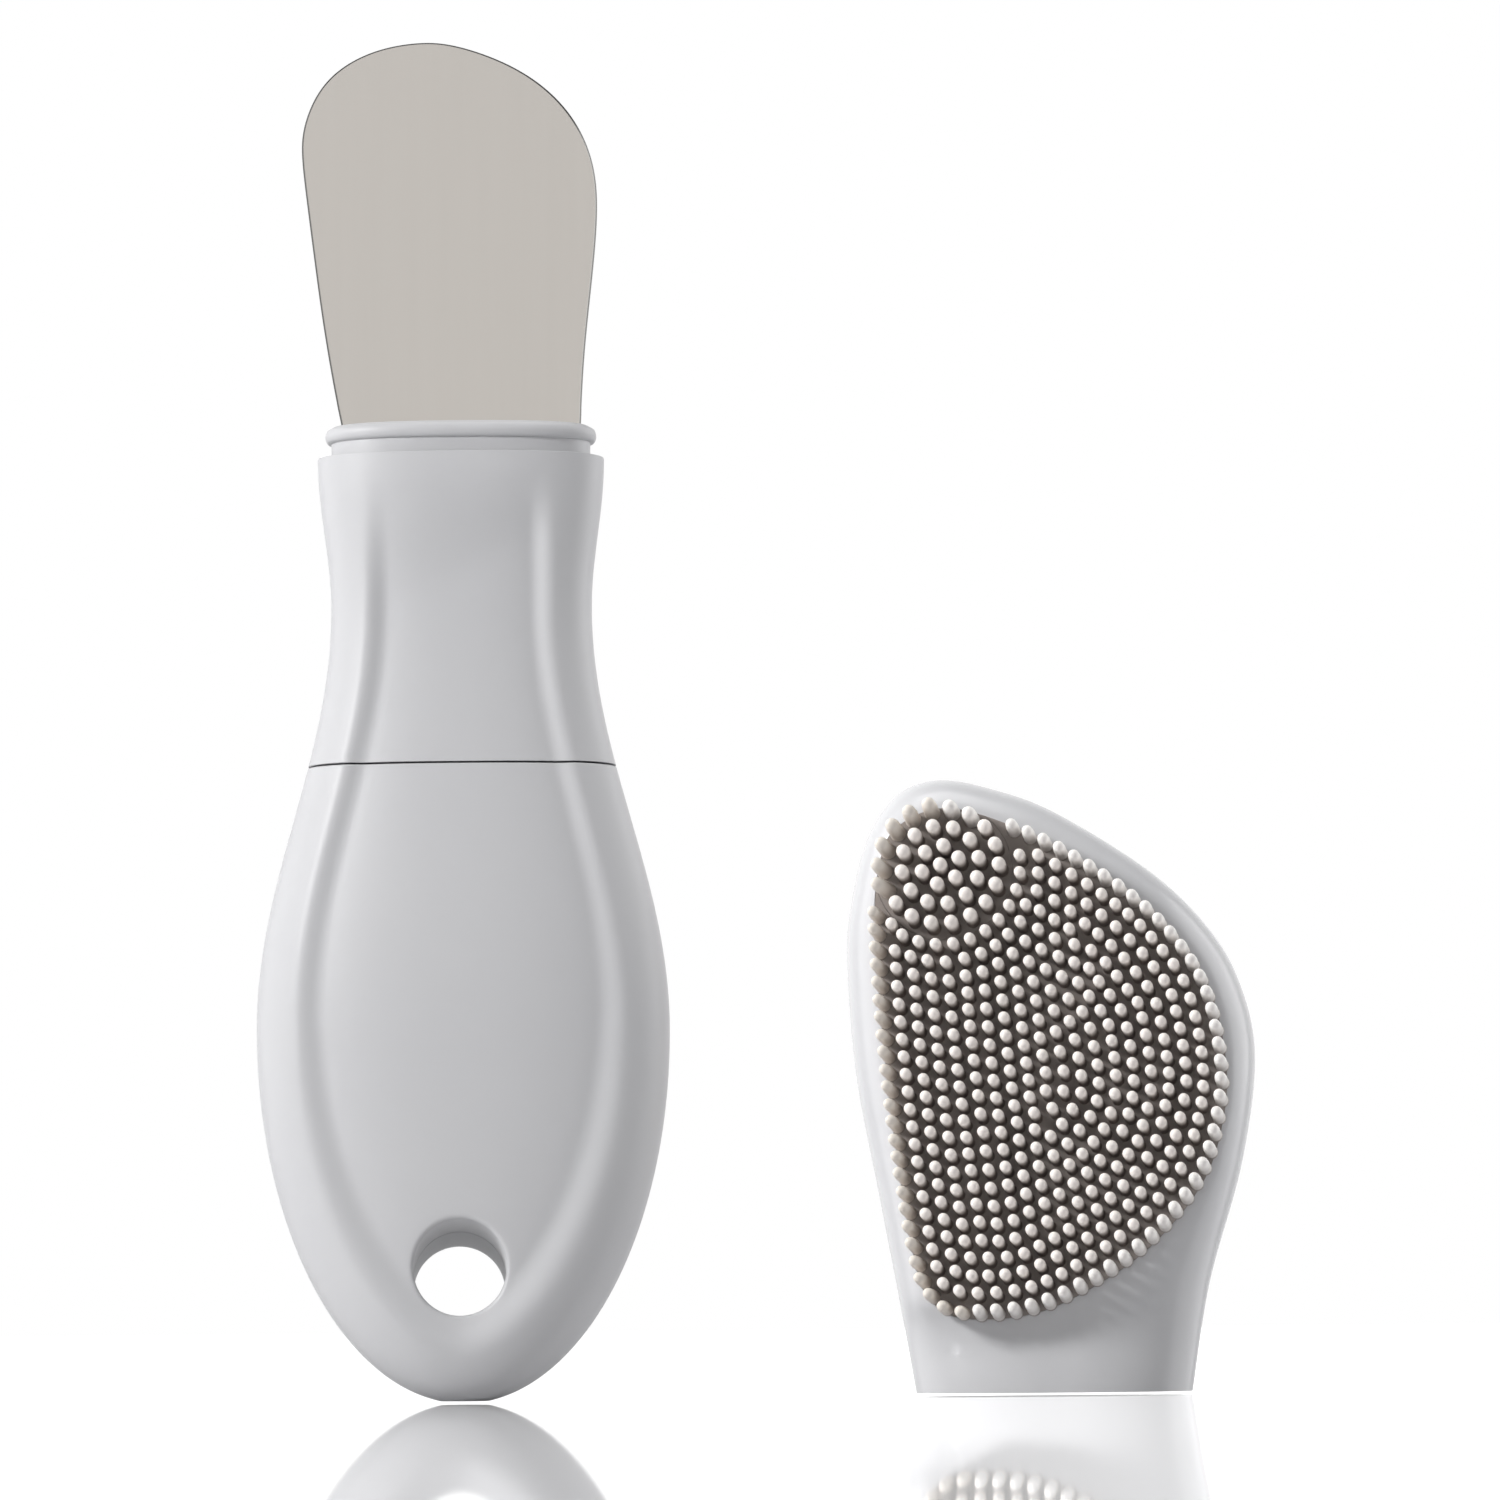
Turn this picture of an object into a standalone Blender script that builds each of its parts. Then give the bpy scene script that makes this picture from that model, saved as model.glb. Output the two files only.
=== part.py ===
"""Pore cleaning brush: a handle with a steel scraper blade, and a brush cap that stands beside it.

Sizes are in metres. Heights are above the table, x runs across the product and the front faces -Y.
Handle pieces are modelled about the handle's own axis and cap pieces about the middle of the cap's
mouth. An empty carries each group to its place.
"""

import math

import bmesh
import bpy
import numpy as np
from mathutils import Matrix

# Fits
FIT_GAP = 0.0003  # between pieces that meet
PIN_GAP = 0.0003  # round a pin in its hole
SNAP_GAP = 0.00005  # between the collar's bead and the groove in the cap's mouth

# Where the cap stands beside the handle
SPACING_X = 0.0594
SPACING_Y = 0.0300

# Handle body
BODY_WIDTH = 0.0408
BODY_DEPTH = 0.0186
BODY_WIDEST_AT = 0.0365
BODY_POWER = 2.4  # exponent of the superellipse section
FOOT_CUT = 0.00025  # the round end is cut flat by this much
BODY_WALL = 0.0020
CAVITY_FLOOR = 0.0035
WAIST_HEIGHT = 0.0625  # seam between the body and the neck

# Neck
NECK_WIDTH = 0.0259
NECK_DEPTH = 0.0134
NECK_NARROWEST_AT = 0.0783
NECK_POWER = 2.5
NECK_WALL = 0.0020
SHOULDER_WIDTH = 0.0285  # the cap's rim is the same size
SHOULDER_DEPTH = 0.0142
SHOULDER_HEIGHT = 0.0929

# Sunk panel on the front of the body and the neck
PANEL_WIDTH = 0.0300
PANEL_WIDEST_AT = 0.0370
PANEL_BOTTOM = 0.0058
PANEL_NECK_WIDTH = 0.0164
PANEL_TOP = 0.0922
PANEL_FADE = 0.0075  # the panel fades out over this height
PANEL_SINK = 0.0010
PANEL_RAMP = 0.0026  # width of the slope round the panel

# Hanging hole
HOLE_DIAMETER = 0.0094
HOLE_HEIGHT = 0.0120
HOLE_TILT = 9.0  # degrees, the front end is the higher one
HOLE_WALL = 0.0018

# Locating pegs in the front shell
PEG_DIAMETER = 0.0030
PEG_SPREAD = 0.0150
PEG_HEIGHT = 0.0560

# Blade carrier
CARRIER_BOTTOM = 0.0490
WINDOW_WIDTH = 0.0120
WINDOW_HEIGHT = 0.0090
WINDOW_BOTTOM = 0.0650
COLLAR_NECK = 0.0010  # height of the groove under the bead
BEAD_HEIGHT = 0.0021
BEAD_PROUD = 0.0005
COLLAR_LIP = 0.0002  # flat land above the bead

# Blade
BLADE_THICKNESS = 0.0010
BLADE_LENGTH = 0.0391  # above the collar
BLADE_ROOT_WIDTH = 0.0240
BLADE_LEFT_REACH = 0.0159
BLADE_RIGHT_REACH = 0.0139
BLADE_BEVEL = 0.0004
BLADE_EDGE = 0.0003  # thickness left at the edge
TANG_WIDTH = 0.0170
TANG_LENGTH = 0.0180
TANG_PIN_DIAMETER = 0.0024
TANG_PIN_SPREAD = 0.0100
TANG_PIN_DEPTH = 0.0110  # below the top of the collar

# Brush cap
CAP_HEIGHT = 0.0634
CAP_RIGHT_REACH = 0.0212
CAP_LEFT_REACH = 0.0210
CAP_WALL = 0.0015
CAP_FRONT_WALL = 0.0030
LEAST_ROUND = 0.0008  # edge rounding where the pad comes close to the outline
ROUND_SHARE = 1.1  # growth of that rounding with the width of the border
MOST_ROUND = 0.0095
BACK_ROUND = 0.0050  # above the cap's neck
BACK_ROUND_FROM = 0.0260  # below this the back gets as round as the front
BACK_ROUND_OVER = 0.0220
RIM_WALL = 0.0007
RIM_LIP = 0.0002
RIM_LIP_HEIGHT = 0.0011
BORE_DEPTH = 0.0045

# Silicone pad
PAD_THICKNESS = 0.0018
PAD_PROUD = 0.0005
STRAND_MARGIN = 0.00095  # from the pad's edge to the outermost strands
STRAND_LENGTH = 0.0032
STRAND_ROOT = 0.0004
STRAND_LEAN_X = -0.17  # sideways travel of a tip for each metre of strand
STRAND_LEAN_Z = 0.20
FINE_PITCH = 0.00177  # between rings
FINE_STEP = 0.00180  # along a ring
FINE_BASE = 0.00066
FINE_TIP = 0.00052
COARSE_PITCH = 0.00200
COARSE_RINGS = 3
COARSE_BASE = 0.00082
COARSE_TIP = 0.00066
ZONE_STEP = 0.00219  # from the last coarse ring to the first fine one
HOLE_GRID = 0.0004  # spacing of the spots where a missing strand is looked for
LEAST_HOLE = 0.8  # a spot this many pitches from every strand gets one
EVEN_REACH = 1.22  # strands closer than this many pitches push each other apart
EVEN_ROUNDS = 30
EVEN_STEP = 0.12

# Stems that key the pad into the cap, and the plate pushed onto them
STEM_DIAMETER = 0.0030
STEM_END = 0.0004  # past the plate
RETAINER_THICKNESS = 0.0012
RETAINER_INSET = 0.0032

# The cap's outline, right side upward and over the top: shares of its reach to that side and of its height
CAP_SHAPE = [
    (0.763, 0.176),
    (0.930, 0.372),
    (1.000, 0.545),
    (0.924, 0.669),
    (0.760, 0.762),
    (0.483, 0.851),
    (0.038, 0.945),
    (-0.266, 0.984),
    (-0.531, 1.000),
    (-0.740, 0.977),
    (-0.888, 0.908),
    (-0.967, 0.814),
    (-0.998, 0.713),
    (-0.959, 0.519),
    (-0.853, 0.324),
    (-0.745, 0.128),
]

# The pad's outline in the same shares, from the bottom round the right side
PAD_SHAPE = [
    (-0.460, 0.113),
    (-0.145, 0.117),
    (0.137, 0.153),
    (0.468, 0.227),
    (0.728, 0.330),
    (0.836, 0.433),
    (0.855, 0.535),
    (0.767, 0.663),
    (0.539, 0.769),
    (0.199, 0.857),
    (-0.174, 0.922),
    (-0.524, 0.953),
    (-0.779, 0.917),
    (-0.870, 0.845),
    (-0.886, 0.727),
    (-0.828, 0.476),
    (-0.716, 0.219),
    (-0.624, 0.142),
]
COARSE_CENTRE = (-0.528, 0.843)
FINE_STEMS = [(0.03, 0.28), (0.48, 0.42), (-0.46, 0.40), (0.41, 0.635), (-0.31, 0.58)]

# The blade's outline above the collar, right side first: shares of its reach to that side and of its length
BLADE_SHAPE = [
    (0.880, 0.180),
    (0.953, 0.389),
    (1.000, 0.572),
    (0.967, 0.682),
    (0.867, 0.776),
    (0.684, 0.863),
    (0.378, 0.943),
    (-0.037, 0.995),
    (-0.224, 1.000),
    (-0.466, 0.989),
    (-0.704, 0.950),
    (-0.894, 0.882),
    (-0.990, 0.777),
    (-1.000, 0.702),
    (-0.940, 0.519),
    (-0.859, 0.240),
]

# Places worked out from the sizes
HANDLE_X = (BODY_WIDTH / 2 - CAP_RIGHT_REACH - SPACING_X) / 2
HANDLE_Y = (BODY_DEPTH / 2 - PANEL_SINK - SHOULDER_DEPTH / 2 - SPACING_Y) / 2
CAP_X = HANDLE_X + SPACING_X
CAP_Y = HANDLE_Y + SPACING_Y
COLLAR_BASE = SHOULDER_HEIGHT + FIT_GAP
BEAD_BASE = COLLAR_BASE + COLLAR_NECK
COLLAR_TOP = BEAD_BASE + BEAD_HEIGHT + COLLAR_LIP
BEAD_HALF = SHOULDER_WIDTH / 2 - RIM_WALL - SNAP_GAP
BORE_HALF_WIDTH = NECK_WIDTH / 2 - NECK_WALL
BORE_HALF_DEPTH = NECK_DEPTH / 2 - NECK_WALL
CAP_FRONT = SHOULDER_DEPTH / 2
PAD_FACE = CAP_FRONT + PAD_PROUD
PAD_BACK = PAD_FACE - PAD_THICKNESS
CAP_FRONT_INSIDE = CAP_FRONT - CAP_FRONT_WALL
COARSE_RADIUS = COARSE_RINGS * COARSE_PITCH
CUT_PAST = 0.0010  # how far a cutter runs past the face that it opens


# Scene helpers


def clear_scene():
    for thing in list(bpy.data.objects):
        bpy.data.objects.remove(thing, do_unlink=True)


def make_collection(name):
    group = bpy.data.collections.new(name)
    bpy.context.scene.collection.children.link(group)
    return group


def make_material(name, colour, roughness, metallic=0.0):
    mat = bpy.data.materials.new(name)
    mat.use_nodes = True
    shader = mat.node_tree.nodes["Principled BSDF"]
    shader.inputs["Base Color"].default_value = (*colour, 1.0)
    shader.inputs["Roughness"].default_value = roughness
    shader.inputs["Metallic"].default_value = metallic
    return mat


def make_anchor(name, place):
    anchor = bpy.data.objects.new(name, None)
    anchor.location = place
    PARTS.objects.link(anchor)
    return anchor


def make_part(name, mesh, anchor, mat):
    mesh.shade_smooth()
    mesh.set_sharp_from_angle(angle=math.radians(40))
    mesh.materials.append(mat)
    thing = bpy.data.objects.new(name, mesh)
    thing.parent = anchor
    PARTS.objects.link(thing)
    return thing


def make_cutter(name, mesh, anchor):
    thing = bpy.data.objects.new(name, mesh)
    thing.parent = anchor
    thing.hide_render = True
    thing.display_type = "WIRE"
    CUTTERS.objects.link(thing)
    return thing


def boolean(thing, other, operation):
    step = thing.modifiers.new(other.name, "BOOLEAN")
    step.operation = operation
    step.solver = "EXACT"
    step.object = other


def cut(thing, *others):
    for other in others:
        boolean(thing, other, "DIFFERENCE")


def join(thing, *others):
    for other in others:
        boolean(thing, other, "UNION")


# Meshes


def loft_mesh(name, rings):
    """Closed skin through rings of equal point counts, with flat ends."""
    bm = bmesh.new()
    rows = [[bm.verts.new(point) for point in ring] for ring in rings]
    count = len(rows[0])
    for low, high in zip(rows, rows[1:]):
        for i in range(count):
            j = (i + 1) % count
            bm.faces.new((low[i], low[j], high[j], high[i]))
    bm.faces.new(rows[0])
    bm.faces.new(rows[-1])
    bmesh.ops.recalc_face_normals(bm, faces=bm.faces)
    mesh = bpy.data.meshes.new(name)
    bm.to_mesh(mesh)
    bm.free()
    return mesh


def box_mesh(name, low, high):
    bm = bmesh.new()
    size = [b - a for a, b in zip(low, high)]
    middle = [(a + b) / 2 for a, b in zip(low, high)]
    bmesh.ops.create_cube(bm, size=1.0, matrix=Matrix.Translation(middle) @ Matrix.Diagonal((*size, 1.0)))
    mesh = bpy.data.meshes.new(name)
    bm.to_mesh(mesh)
    bm.free()
    return mesh


def rods_mesh(name, places, diameter, start, end, segments=20, tilt=0.0):
    """Round rods along Y from start to end, one at each (x, z) place."""
    bm = bmesh.new()
    turn = Matrix.Rotation(math.radians(90.0 + tilt), 4, "X")
    for x, z in places:
        bmesh.ops.create_cone(
            bm,
            cap_ends=True,
            segments=segments,
            radius1=diameter / 2,
            radius2=diameter / 2,
            depth=end - start,
            matrix=Matrix.Translation((x, (start + end) / 2, z)) @ turn,
        )
    mesh = bpy.data.meshes.new(name)
    bm.to_mesh(mesh)
    bm.free()
    return mesh


# Curves in the plane


def smooth_curve(points, steps, closed):
    """Catmull-Rom curve through the points."""
    points = np.asarray(points, dtype=float)
    if closed:
        padded = np.vstack([points[-1], points, points[:2]])
    else:
        padded = np.vstack([2 * points[0] - points[1], points, 2 * points[-1] - points[-2]])
    curve = []
    for a, b, c, d in zip(padded, padded[1:], padded[2:], padded[3:]):
        for k in range(steps):
            t = k / steps
            curve.append(
                0.5 * (2 * b + (c - a) * t + (2 * a - 5 * b + 4 * c - d) * t**2 + (3 * b - a - 3 * c + d) * t**3)
            )
    if not closed:
        curve.append(points[-1])
    return np.array(curve)


def inward_normals(curve, closed):
    """Unit normals to the left of the direction of travel, which is inward on these outlines."""
    if closed:
        along = np.roll(curve, -1, axis=0) - np.roll(curve, 1, axis=0)
    else:
        along = np.gradient(curve, axis=0)
    normal = np.column_stack([-along[:, 1], along[:, 0]])
    return normal / np.linalg.norm(normal, axis=1)[:, None]


def offset_curve(curve, distance, closed=True):
    """Moves the curve inward by the distance, one number or one for each point."""
    step = np.broadcast_to(distance, len(curve))[:, None]
    return curve + inward_normals(curve, closed) * step


def distances(points, others):
    return np.linalg.norm(points[:, None, :] - others[None, :, :], axis=2).min(axis=1)


def at_depth(curve, y):
    return [(x, y, z) for x, z in curve]


def plate_mesh(name, curve, front, back):
    """Flat plate with this outline between two depths."""
    return loft_mesh(name, [at_depth(curve, front), at_depth(curve, back)])


# Handle shape


def swell(t, start, end):
    """Smooth change from start to end as t goes from 0 to 1."""
    t = np.clip(t, 0.0, 1.0)
    return start + (end - start) * (1 - np.cos(np.pi * t)) / 2


def rise(z):
    """0 at the widest place of the body, 1 at the narrowest of the neck."""
    return (z - BODY_WIDEST_AT) / (NECK_NARROWEST_AT - BODY_WIDEST_AT)


def flare(z):
    """0 at the narrowest place of the neck, 1 at the shoulder."""
    return (z - NECK_NARROWEST_AT) / (SHOULDER_HEIGHT - NECK_NARROWEST_AT)


def half_width(z):
    if z < BODY_WIDEST_AT:
        t = (BODY_WIDEST_AT - z) / (BODY_WIDEST_AT + FOOT_CUT)
        return BODY_WIDTH / 2 * math.sqrt(1 - t**2)
    if z < NECK_NARROWEST_AT:
        return swell(rise(z), BODY_WIDTH / 2, NECK_WIDTH / 2)
    return swell(flare(z), NECK_WIDTH / 2, SHOULDER_WIDTH / 2)


def half_depth(z):
    if z < BODY_WIDEST_AT:
        t = (BODY_WIDEST_AT - z) / (BODY_WIDEST_AT + FOOT_CUT)
        return BODY_DEPTH / 2 * (1 - t**4) ** (1 / 3)
    if z < NECK_NARROWEST_AT:
        return swell(rise(z), BODY_DEPTH / 2, NECK_DEPTH / 2)
    return swell(flare(z), NECK_DEPTH / 2, SHOULDER_DEPTH / 2)


def section_power(z):
    return swell(rise(z), BODY_POWER, NECK_POWER)


def panel_half(z):
    """Half the panel's width, below zero past its lower tip."""
    if z <= PANEL_BOTTOM:
        return z - PANEL_BOTTOM
    if z < PANEL_WIDEST_AT:
        t = (PANEL_WIDEST_AT - z) / (PANEL_WIDEST_AT - PANEL_BOTTOM)
        return PANEL_WIDTH / 2 * (1 - t**2) ** 0.66
    t = (z - PANEL_WIDEST_AT) / (NECK_NARROWEST_AT - PANEL_WIDEST_AT)
    return swell(t, PANEL_WIDTH / 2, PANEL_NECK_WIDTH / 2)


def panel_sink(x, z):
    """How far the front is sunk at this place."""
    inside = (panel_half(z) + PANEL_RAMP / 2 - abs(x)) / PANEL_RAMP
    return PANEL_SINK * swell(inside, 0, 1) * swell((PANEL_TOP - z) / PANEL_FADE, 0, 1)


def skin_depth(x, z):
    """Half the handle's depth at this place, before the panel is sunk."""
    share = min(abs(x) / half_width(z), 1.0)
    return half_depth(z) * (1 - share ** section_power(z)) ** (1 / section_power(z))


def cavity_depth(x, z):
    """Half the depth of the space inside the body at this place."""
    power = section_power(z)
    return (half_depth(z) - BODY_WALL) * (1 - (abs(x) / (half_width(z) - BODY_WALL)) ** power) ** (1 / power)


def section_columns(z, flank=5, middle=3):
    """Places across half the section: round the flank, over the panel's slope and to the middle."""
    wide, power = half_width(z), section_power(z)
    outer = min(max(panel_half(z) + PANEL_RAMP / 2, 0.45 * wide), 0.94 * wide)
    inner = min(max(panel_half(z) - PANEL_RAMP / 2, 0.22 * wide), 0.90 * outer)
    last = math.acos((outer / wide) ** (power / 2))
    columns = [wide * math.cos(last * k / flank) ** (2 / power) for k in range(flank + 1)]
    columns.append((outer + inner) / 2)
    columns += [inner * (1 - k / middle) for k in range(middle)]
    return columns


def front_half(z, least):
    """The front of the section from right to left, no nearer to the middle plane than least."""
    right = section_columns(z)
    across = right + [0.0] + [-x for x in reversed(right)]
    return [(x, -max(skin_depth(x, z) - panel_sink(x, z), least), z) for x in across]


def back_half(z, least, steps=7):
    """The back of the section from left to right."""
    wide, deep, power = half_width(z), half_depth(z), section_power(z)
    points = []
    for k in range(2 * steps + 1):
        angle = math.pi * (1 - k / (2 * steps))
        side = math.copysign(abs(math.cos(angle)) ** (2 / power), math.cos(angle))
        points.append((wide * side, max(deep * math.sin(angle) ** (2 / power), least), z))
    return points


def oval(wide, deep, z, power, steps=28):
    """Full superellipse section."""
    points = []
    for k in range(steps):
        angle = 2 * math.pi * k / steps
        c, s = math.cos(angle), math.sin(angle)
        x = wide * math.copysign(abs(c) ** (2 / power), c)
        y = deep * math.copysign(abs(s) ** (2 / power), s)
        points.append((x, y, z))
    return points


def body_levels(bottom_steps=11, top_steps=8):
    """Heights of the body's sections, close together at the round end."""
    top = WAIST_HEIGHT - FIT_GAP / 2
    low = [BODY_WIDEST_AT * (1 - math.cos(math.pi / 2 * k / bottom_steps)) for k in range(bottom_steps + 1)]
    high = [BODY_WIDEST_AT + (top - BODY_WIDEST_AT) * k / top_steps for k in range(1, top_steps + 1)]
    return low + high


def neck_levels(steps=10):
    low = WAIST_HEIGHT + FIT_GAP / 2
    return [low + (SHOULDER_HEIGHT - low) * k / steps for k in range(steps + 1)]


def body_cavity(name):
    """Space inside both shells, less a round wall that the hanging hole is bored through."""
    top = WAIST_HEIGHT + CUT_PAST
    steps = 9
    levels = [CAVITY_FLOOR + (top - CAVITY_FLOOR) * (k / steps) ** 1.3 for k in range(steps + 1)]
    rings = [oval(half_width(z) - BODY_WALL, half_depth(z) - BODY_WALL, z, section_power(z)) for z in levels]
    cavity = make_cutter(name, loft_mesh(name, rings), HANDLE)
    wall = rods_mesh(name + "_hole_wall", [(0, HOLE_HEIGHT)], HOLE_DIAMETER + 2 * HOLE_WALL, *THROUGH, 28, HOLE_TILT)
    cut(cavity, make_cutter(name + "_hole_wall", wall, HANDLE))
    return cavity


def peg_places():
    return [(-PEG_SPREAD / 2, PEG_HEIGHT), (PEG_SPREAD / 2, PEG_HEIGHT)]


def build_handle_shells():
    cavity = body_cavity("body_cavity")
    bore = rods_mesh("hanging_hole", [(0, HOLE_HEIGHT)], HOLE_DIAMETER, *THROUGH, 36, HOLE_TILT)
    hole = make_cutter("hanging_hole", bore, HANDLE)
    inside = cavity_depth(PEG_SPREAD / 2 + PEG_DIAMETER / 2, PEG_HEIGHT + PEG_DIAMETER / 2)
    pegs = rods_mesh("pegs", peg_places(), PEG_DIAMETER, -inside - CUT_PAST, inside - FIT_GAP)
    pegs = make_cutter("pegs", pegs, HANDLE)

    rings = [front_half(z, FIT_GAP / 2) for z in body_levels()]
    front = make_part("handle_front_shell", loft_mesh("handle_front_shell", rings), HANDLE, BODY_PLASTIC)
    cut(front, cavity)
    join(front, pegs)
    cut(front, hole)

    rings = [back_half(z, FIT_GAP / 2) for z in body_levels()]
    back = make_part("handle_back_shell", loft_mesh("handle_back_shell", rings), HANDLE, BODY_PLASTIC)
    cut(back, cavity, hole)


def build_neck_sleeve():
    rings = [front_half(z, 0.0) + back_half(z, 0.0)[1:-1] for z in neck_levels()]
    sleeve = make_part("neck_sleeve", loft_mesh("neck_sleeve", rings), HANDLE, BODY_PLASTIC)
    ends = [WAIST_HEIGHT - CUT_PAST, SHOULDER_HEIGHT + CUT_PAST]
    bore = [oval(BORE_HALF_WIDTH, BORE_HALF_DEPTH, z, NECK_POWER) for z in ends]
    cut(sleeve, make_cutter("neck_bore", loft_mesh("neck_bore", bore), HANDLE))


# Blade and its carrier


def collar_depth(wide):
    """Half depth of the collar where its half width is wide."""
    return SHOULDER_DEPTH / 2 - (SHOULDER_WIDTH / 2 - wide)


def collar_profile():
    """Half widths and heights of the collar from its base up over the bead."""
    neck = BEAD_HALF - BEAD_PROUD
    profile = [(neck, COLLAR_BASE), (neck, BEAD_BASE)]
    for k in range(1, 6):
        angle = math.pi * k / 6
        height = BEAD_BASE + BEAD_HEIGHT * (1 - math.cos(angle)) / 2
        profile.append((neck + BEAD_PROUD * math.sin(angle), height))
    profile += [(neck, BEAD_BASE + BEAD_HEIGHT), (neck - COLLAR_LIP, COLLAR_TOP)]
    return profile


def build_blade_carrier():
    foot_top = WAIST_HEIGHT - FIT_GAP / 2
    foot_half = half_width(foot_top) - BODY_WALL - FIT_GAP
    foot_deep = half_depth(foot_top) - BODY_WALL - FIT_GAP
    plug_half = BORE_HALF_WIDTH - FIT_GAP
    plug_deep = BORE_HALF_DEPTH - FIT_GAP
    rings = [oval(foot_half, foot_deep, z, NECK_POWER) for z in (CARRIER_BOTTOM, foot_top)]
    rings += [oval(plug_half, plug_deep, z, NECK_POWER) for z in (foot_top, COLLAR_BASE)]
    rings += [oval(wide, collar_depth(wide), z, NECK_POWER) for wide, z in collar_profile()]
    carrier = make_part("blade_carrier", loft_mesh("blade_carrier", rings), HANDLE, COLLAR_PLASTIC)

    half = TANG_WIDTH / 2 + FIT_GAP
    thick = BLADE_THICKNESS / 2 + FIT_GAP
    low = COLLAR_TOP - TANG_LENGTH - FIT_GAP
    slot = box_mesh("tang_slot", (-half, -thick, low), (half, thick, COLLAR_TOP + CUT_PAST))
    half = WINDOW_WIDTH / 2
    low, high = WINDOW_BOTTOM, WINDOW_BOTTOM + WINDOW_HEIGHT
    window = box_mesh("carrier_window", (-half, THROUGH[0], low), (half, THROUGH[1], high))
    holes = rods_mesh("tang_pin_holes", tang_pin_places(), TANG_PIN_DIAMETER + 2 * PIN_GAP, *THROUGH)
    peg_holes = rods_mesh("peg_holes", peg_places(), PEG_DIAMETER + 2 * PIN_GAP, *THROUGH)
    for name, mesh in (("tang_slot", slot), ("carrier_window", window), ("pin_holes", holes), ("peg_holes", peg_holes)):
        cut(carrier, make_cutter(name, mesh, HANDLE))


def tang_pin_places():
    height = COLLAR_TOP - TANG_PIN_DEPTH
    return [(-TANG_PIN_SPREAD / 2, height), (TANG_PIN_SPREAD / 2, height)]


def build_tang_pins():
    outer = (TANG_PIN_SPREAD + TANG_PIN_DIAMETER) / 2 / BORE_HALF_WIDTH
    half = BORE_HALF_DEPTH * (1 - outer**NECK_POWER) ** (1 / NECK_POWER) - FIT_GAP
    for side, place in zip(("left", "right"), tang_pin_places()):
        mesh = rods_mesh("tang_pin_" + side, [place], TANG_PIN_DIAMETER, -half, half)
        make_part("tang_pin_" + side, mesh, HANDLE, STEEL)


def blade_curve():
    """The blade's outline above the collar and its tang below, right side upward."""
    root = COLLAR_TOP + FIT_GAP
    points = [(BLADE_ROOT_WIDTH / 2, root)]
    for across, up in BLADE_SHAPE:
        reach = BLADE_RIGHT_REACH if across > 0 else BLADE_LEFT_REACH
        points.append((across * reach, root + up * (BLADE_LENGTH - FIT_GAP)))
    points.append((-BLADE_ROOT_WIDTH / 2, root))
    tang = [(-TANG_WIDTH / 2, root), (-TANG_WIDTH / 2, COLLAR_TOP - TANG_LENGTH)]
    tang += [(-x, z) for x, z in reversed(tang)]
    return smooth_curve(points, 3, closed=False), np.array(tang)


def build_blade():
    head, tang = blade_curve()
    inner = offset_curve(head, BLADE_BEVEL, closed=False)
    inner[0, 1] = inner[-1, 1] = head[0, 1]
    whole, bevelled = np.vstack([head, tang]), np.vstack([inner, tang])
    edge = BLADE_EDGE / 2
    rings = [at_depth(bevelled, -BLADE_THICKNESS / 2)]
    rings += [at_depth(whole, side * edge) for side in (-1, 1)]
    rings += [at_depth(bevelled, BLADE_THICKNESS / 2)]
    blade = make_part("scraper_blade", loft_mesh("scraper_blade", rings), HANDLE, STEEL)
    holes = rods_mesh("tang_holes", tang_pin_places(), TANG_PIN_DIAMETER + 2 * PIN_GAP, *THROUGH)
    cut(blade, make_cutter("tang_holes", holes, HANDLE))


# Brush cap


def cap_point(across, up):
    reach = CAP_RIGHT_REACH if across > 0 else CAP_LEFT_REACH
    return across * reach, up * CAP_HEIGHT


def cap_curve(steps=4):
    """The cap's outline, run on below the rim so that the rim can be cut square."""
    rim = SHOULDER_WIDTH / 2
    points = [cap_point(*share) for share in CAP_SHAPE]
    points = [(rim, 0.0)] + points + [(-rim, 0.0)]
    right, left = points[1], points[-2]
    below = 0.3
    start = (rim - below * (right[0] - rim), -below * right[1])
    end = (-rim - below * (left[0] + rim), -below * left[1])
    return smooth_curve([start] + points + [end], steps, closed=False)


def pad_curve(steps=4):
    return smooth_curve([cap_point(*share) for share in PAD_SHAPE], steps, closed=True)


def edge_rounding(curve):
    """Rounding of the cap's front edge, smaller where the pad leaves a narrow border."""
    border = distances(curve, pad_curve())
    return np.minimum(LEAST_ROUND + ROUND_SHARE * border, MOST_ROUND)


def back_rounding(curve):
    """Rounding of the cap's back edge: the rim has the same section front and back."""
    return swell((BACK_ROUND_FROM - curve[:, 1]) / BACK_ROUND_OVER, BACK_ROUND, MOST_ROUND)


def cap_rings(curve, rounding, inset, depth, side, starts, steps=5):
    """Rings of one half of the cap, from the parting plane out to its flat face."""
    inner = np.maximum(rounding - inset, LEAST_ROUND / 2)
    base = offset_curve(curve, inset, closed=False)
    rings = [at_depth(base, side * y) for y in starts[:-1]]
    for k in range(steps + 1):
        angle = math.pi / 2 * k / steps
        ring = offset_curve(curve, inset + inner * (1 - math.cos(angle)), closed=False)
        rings.append(at_depth(ring, side * (starts[-1] + (depth - starts[-1]) * math.sin(angle))))
    return rings


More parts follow.
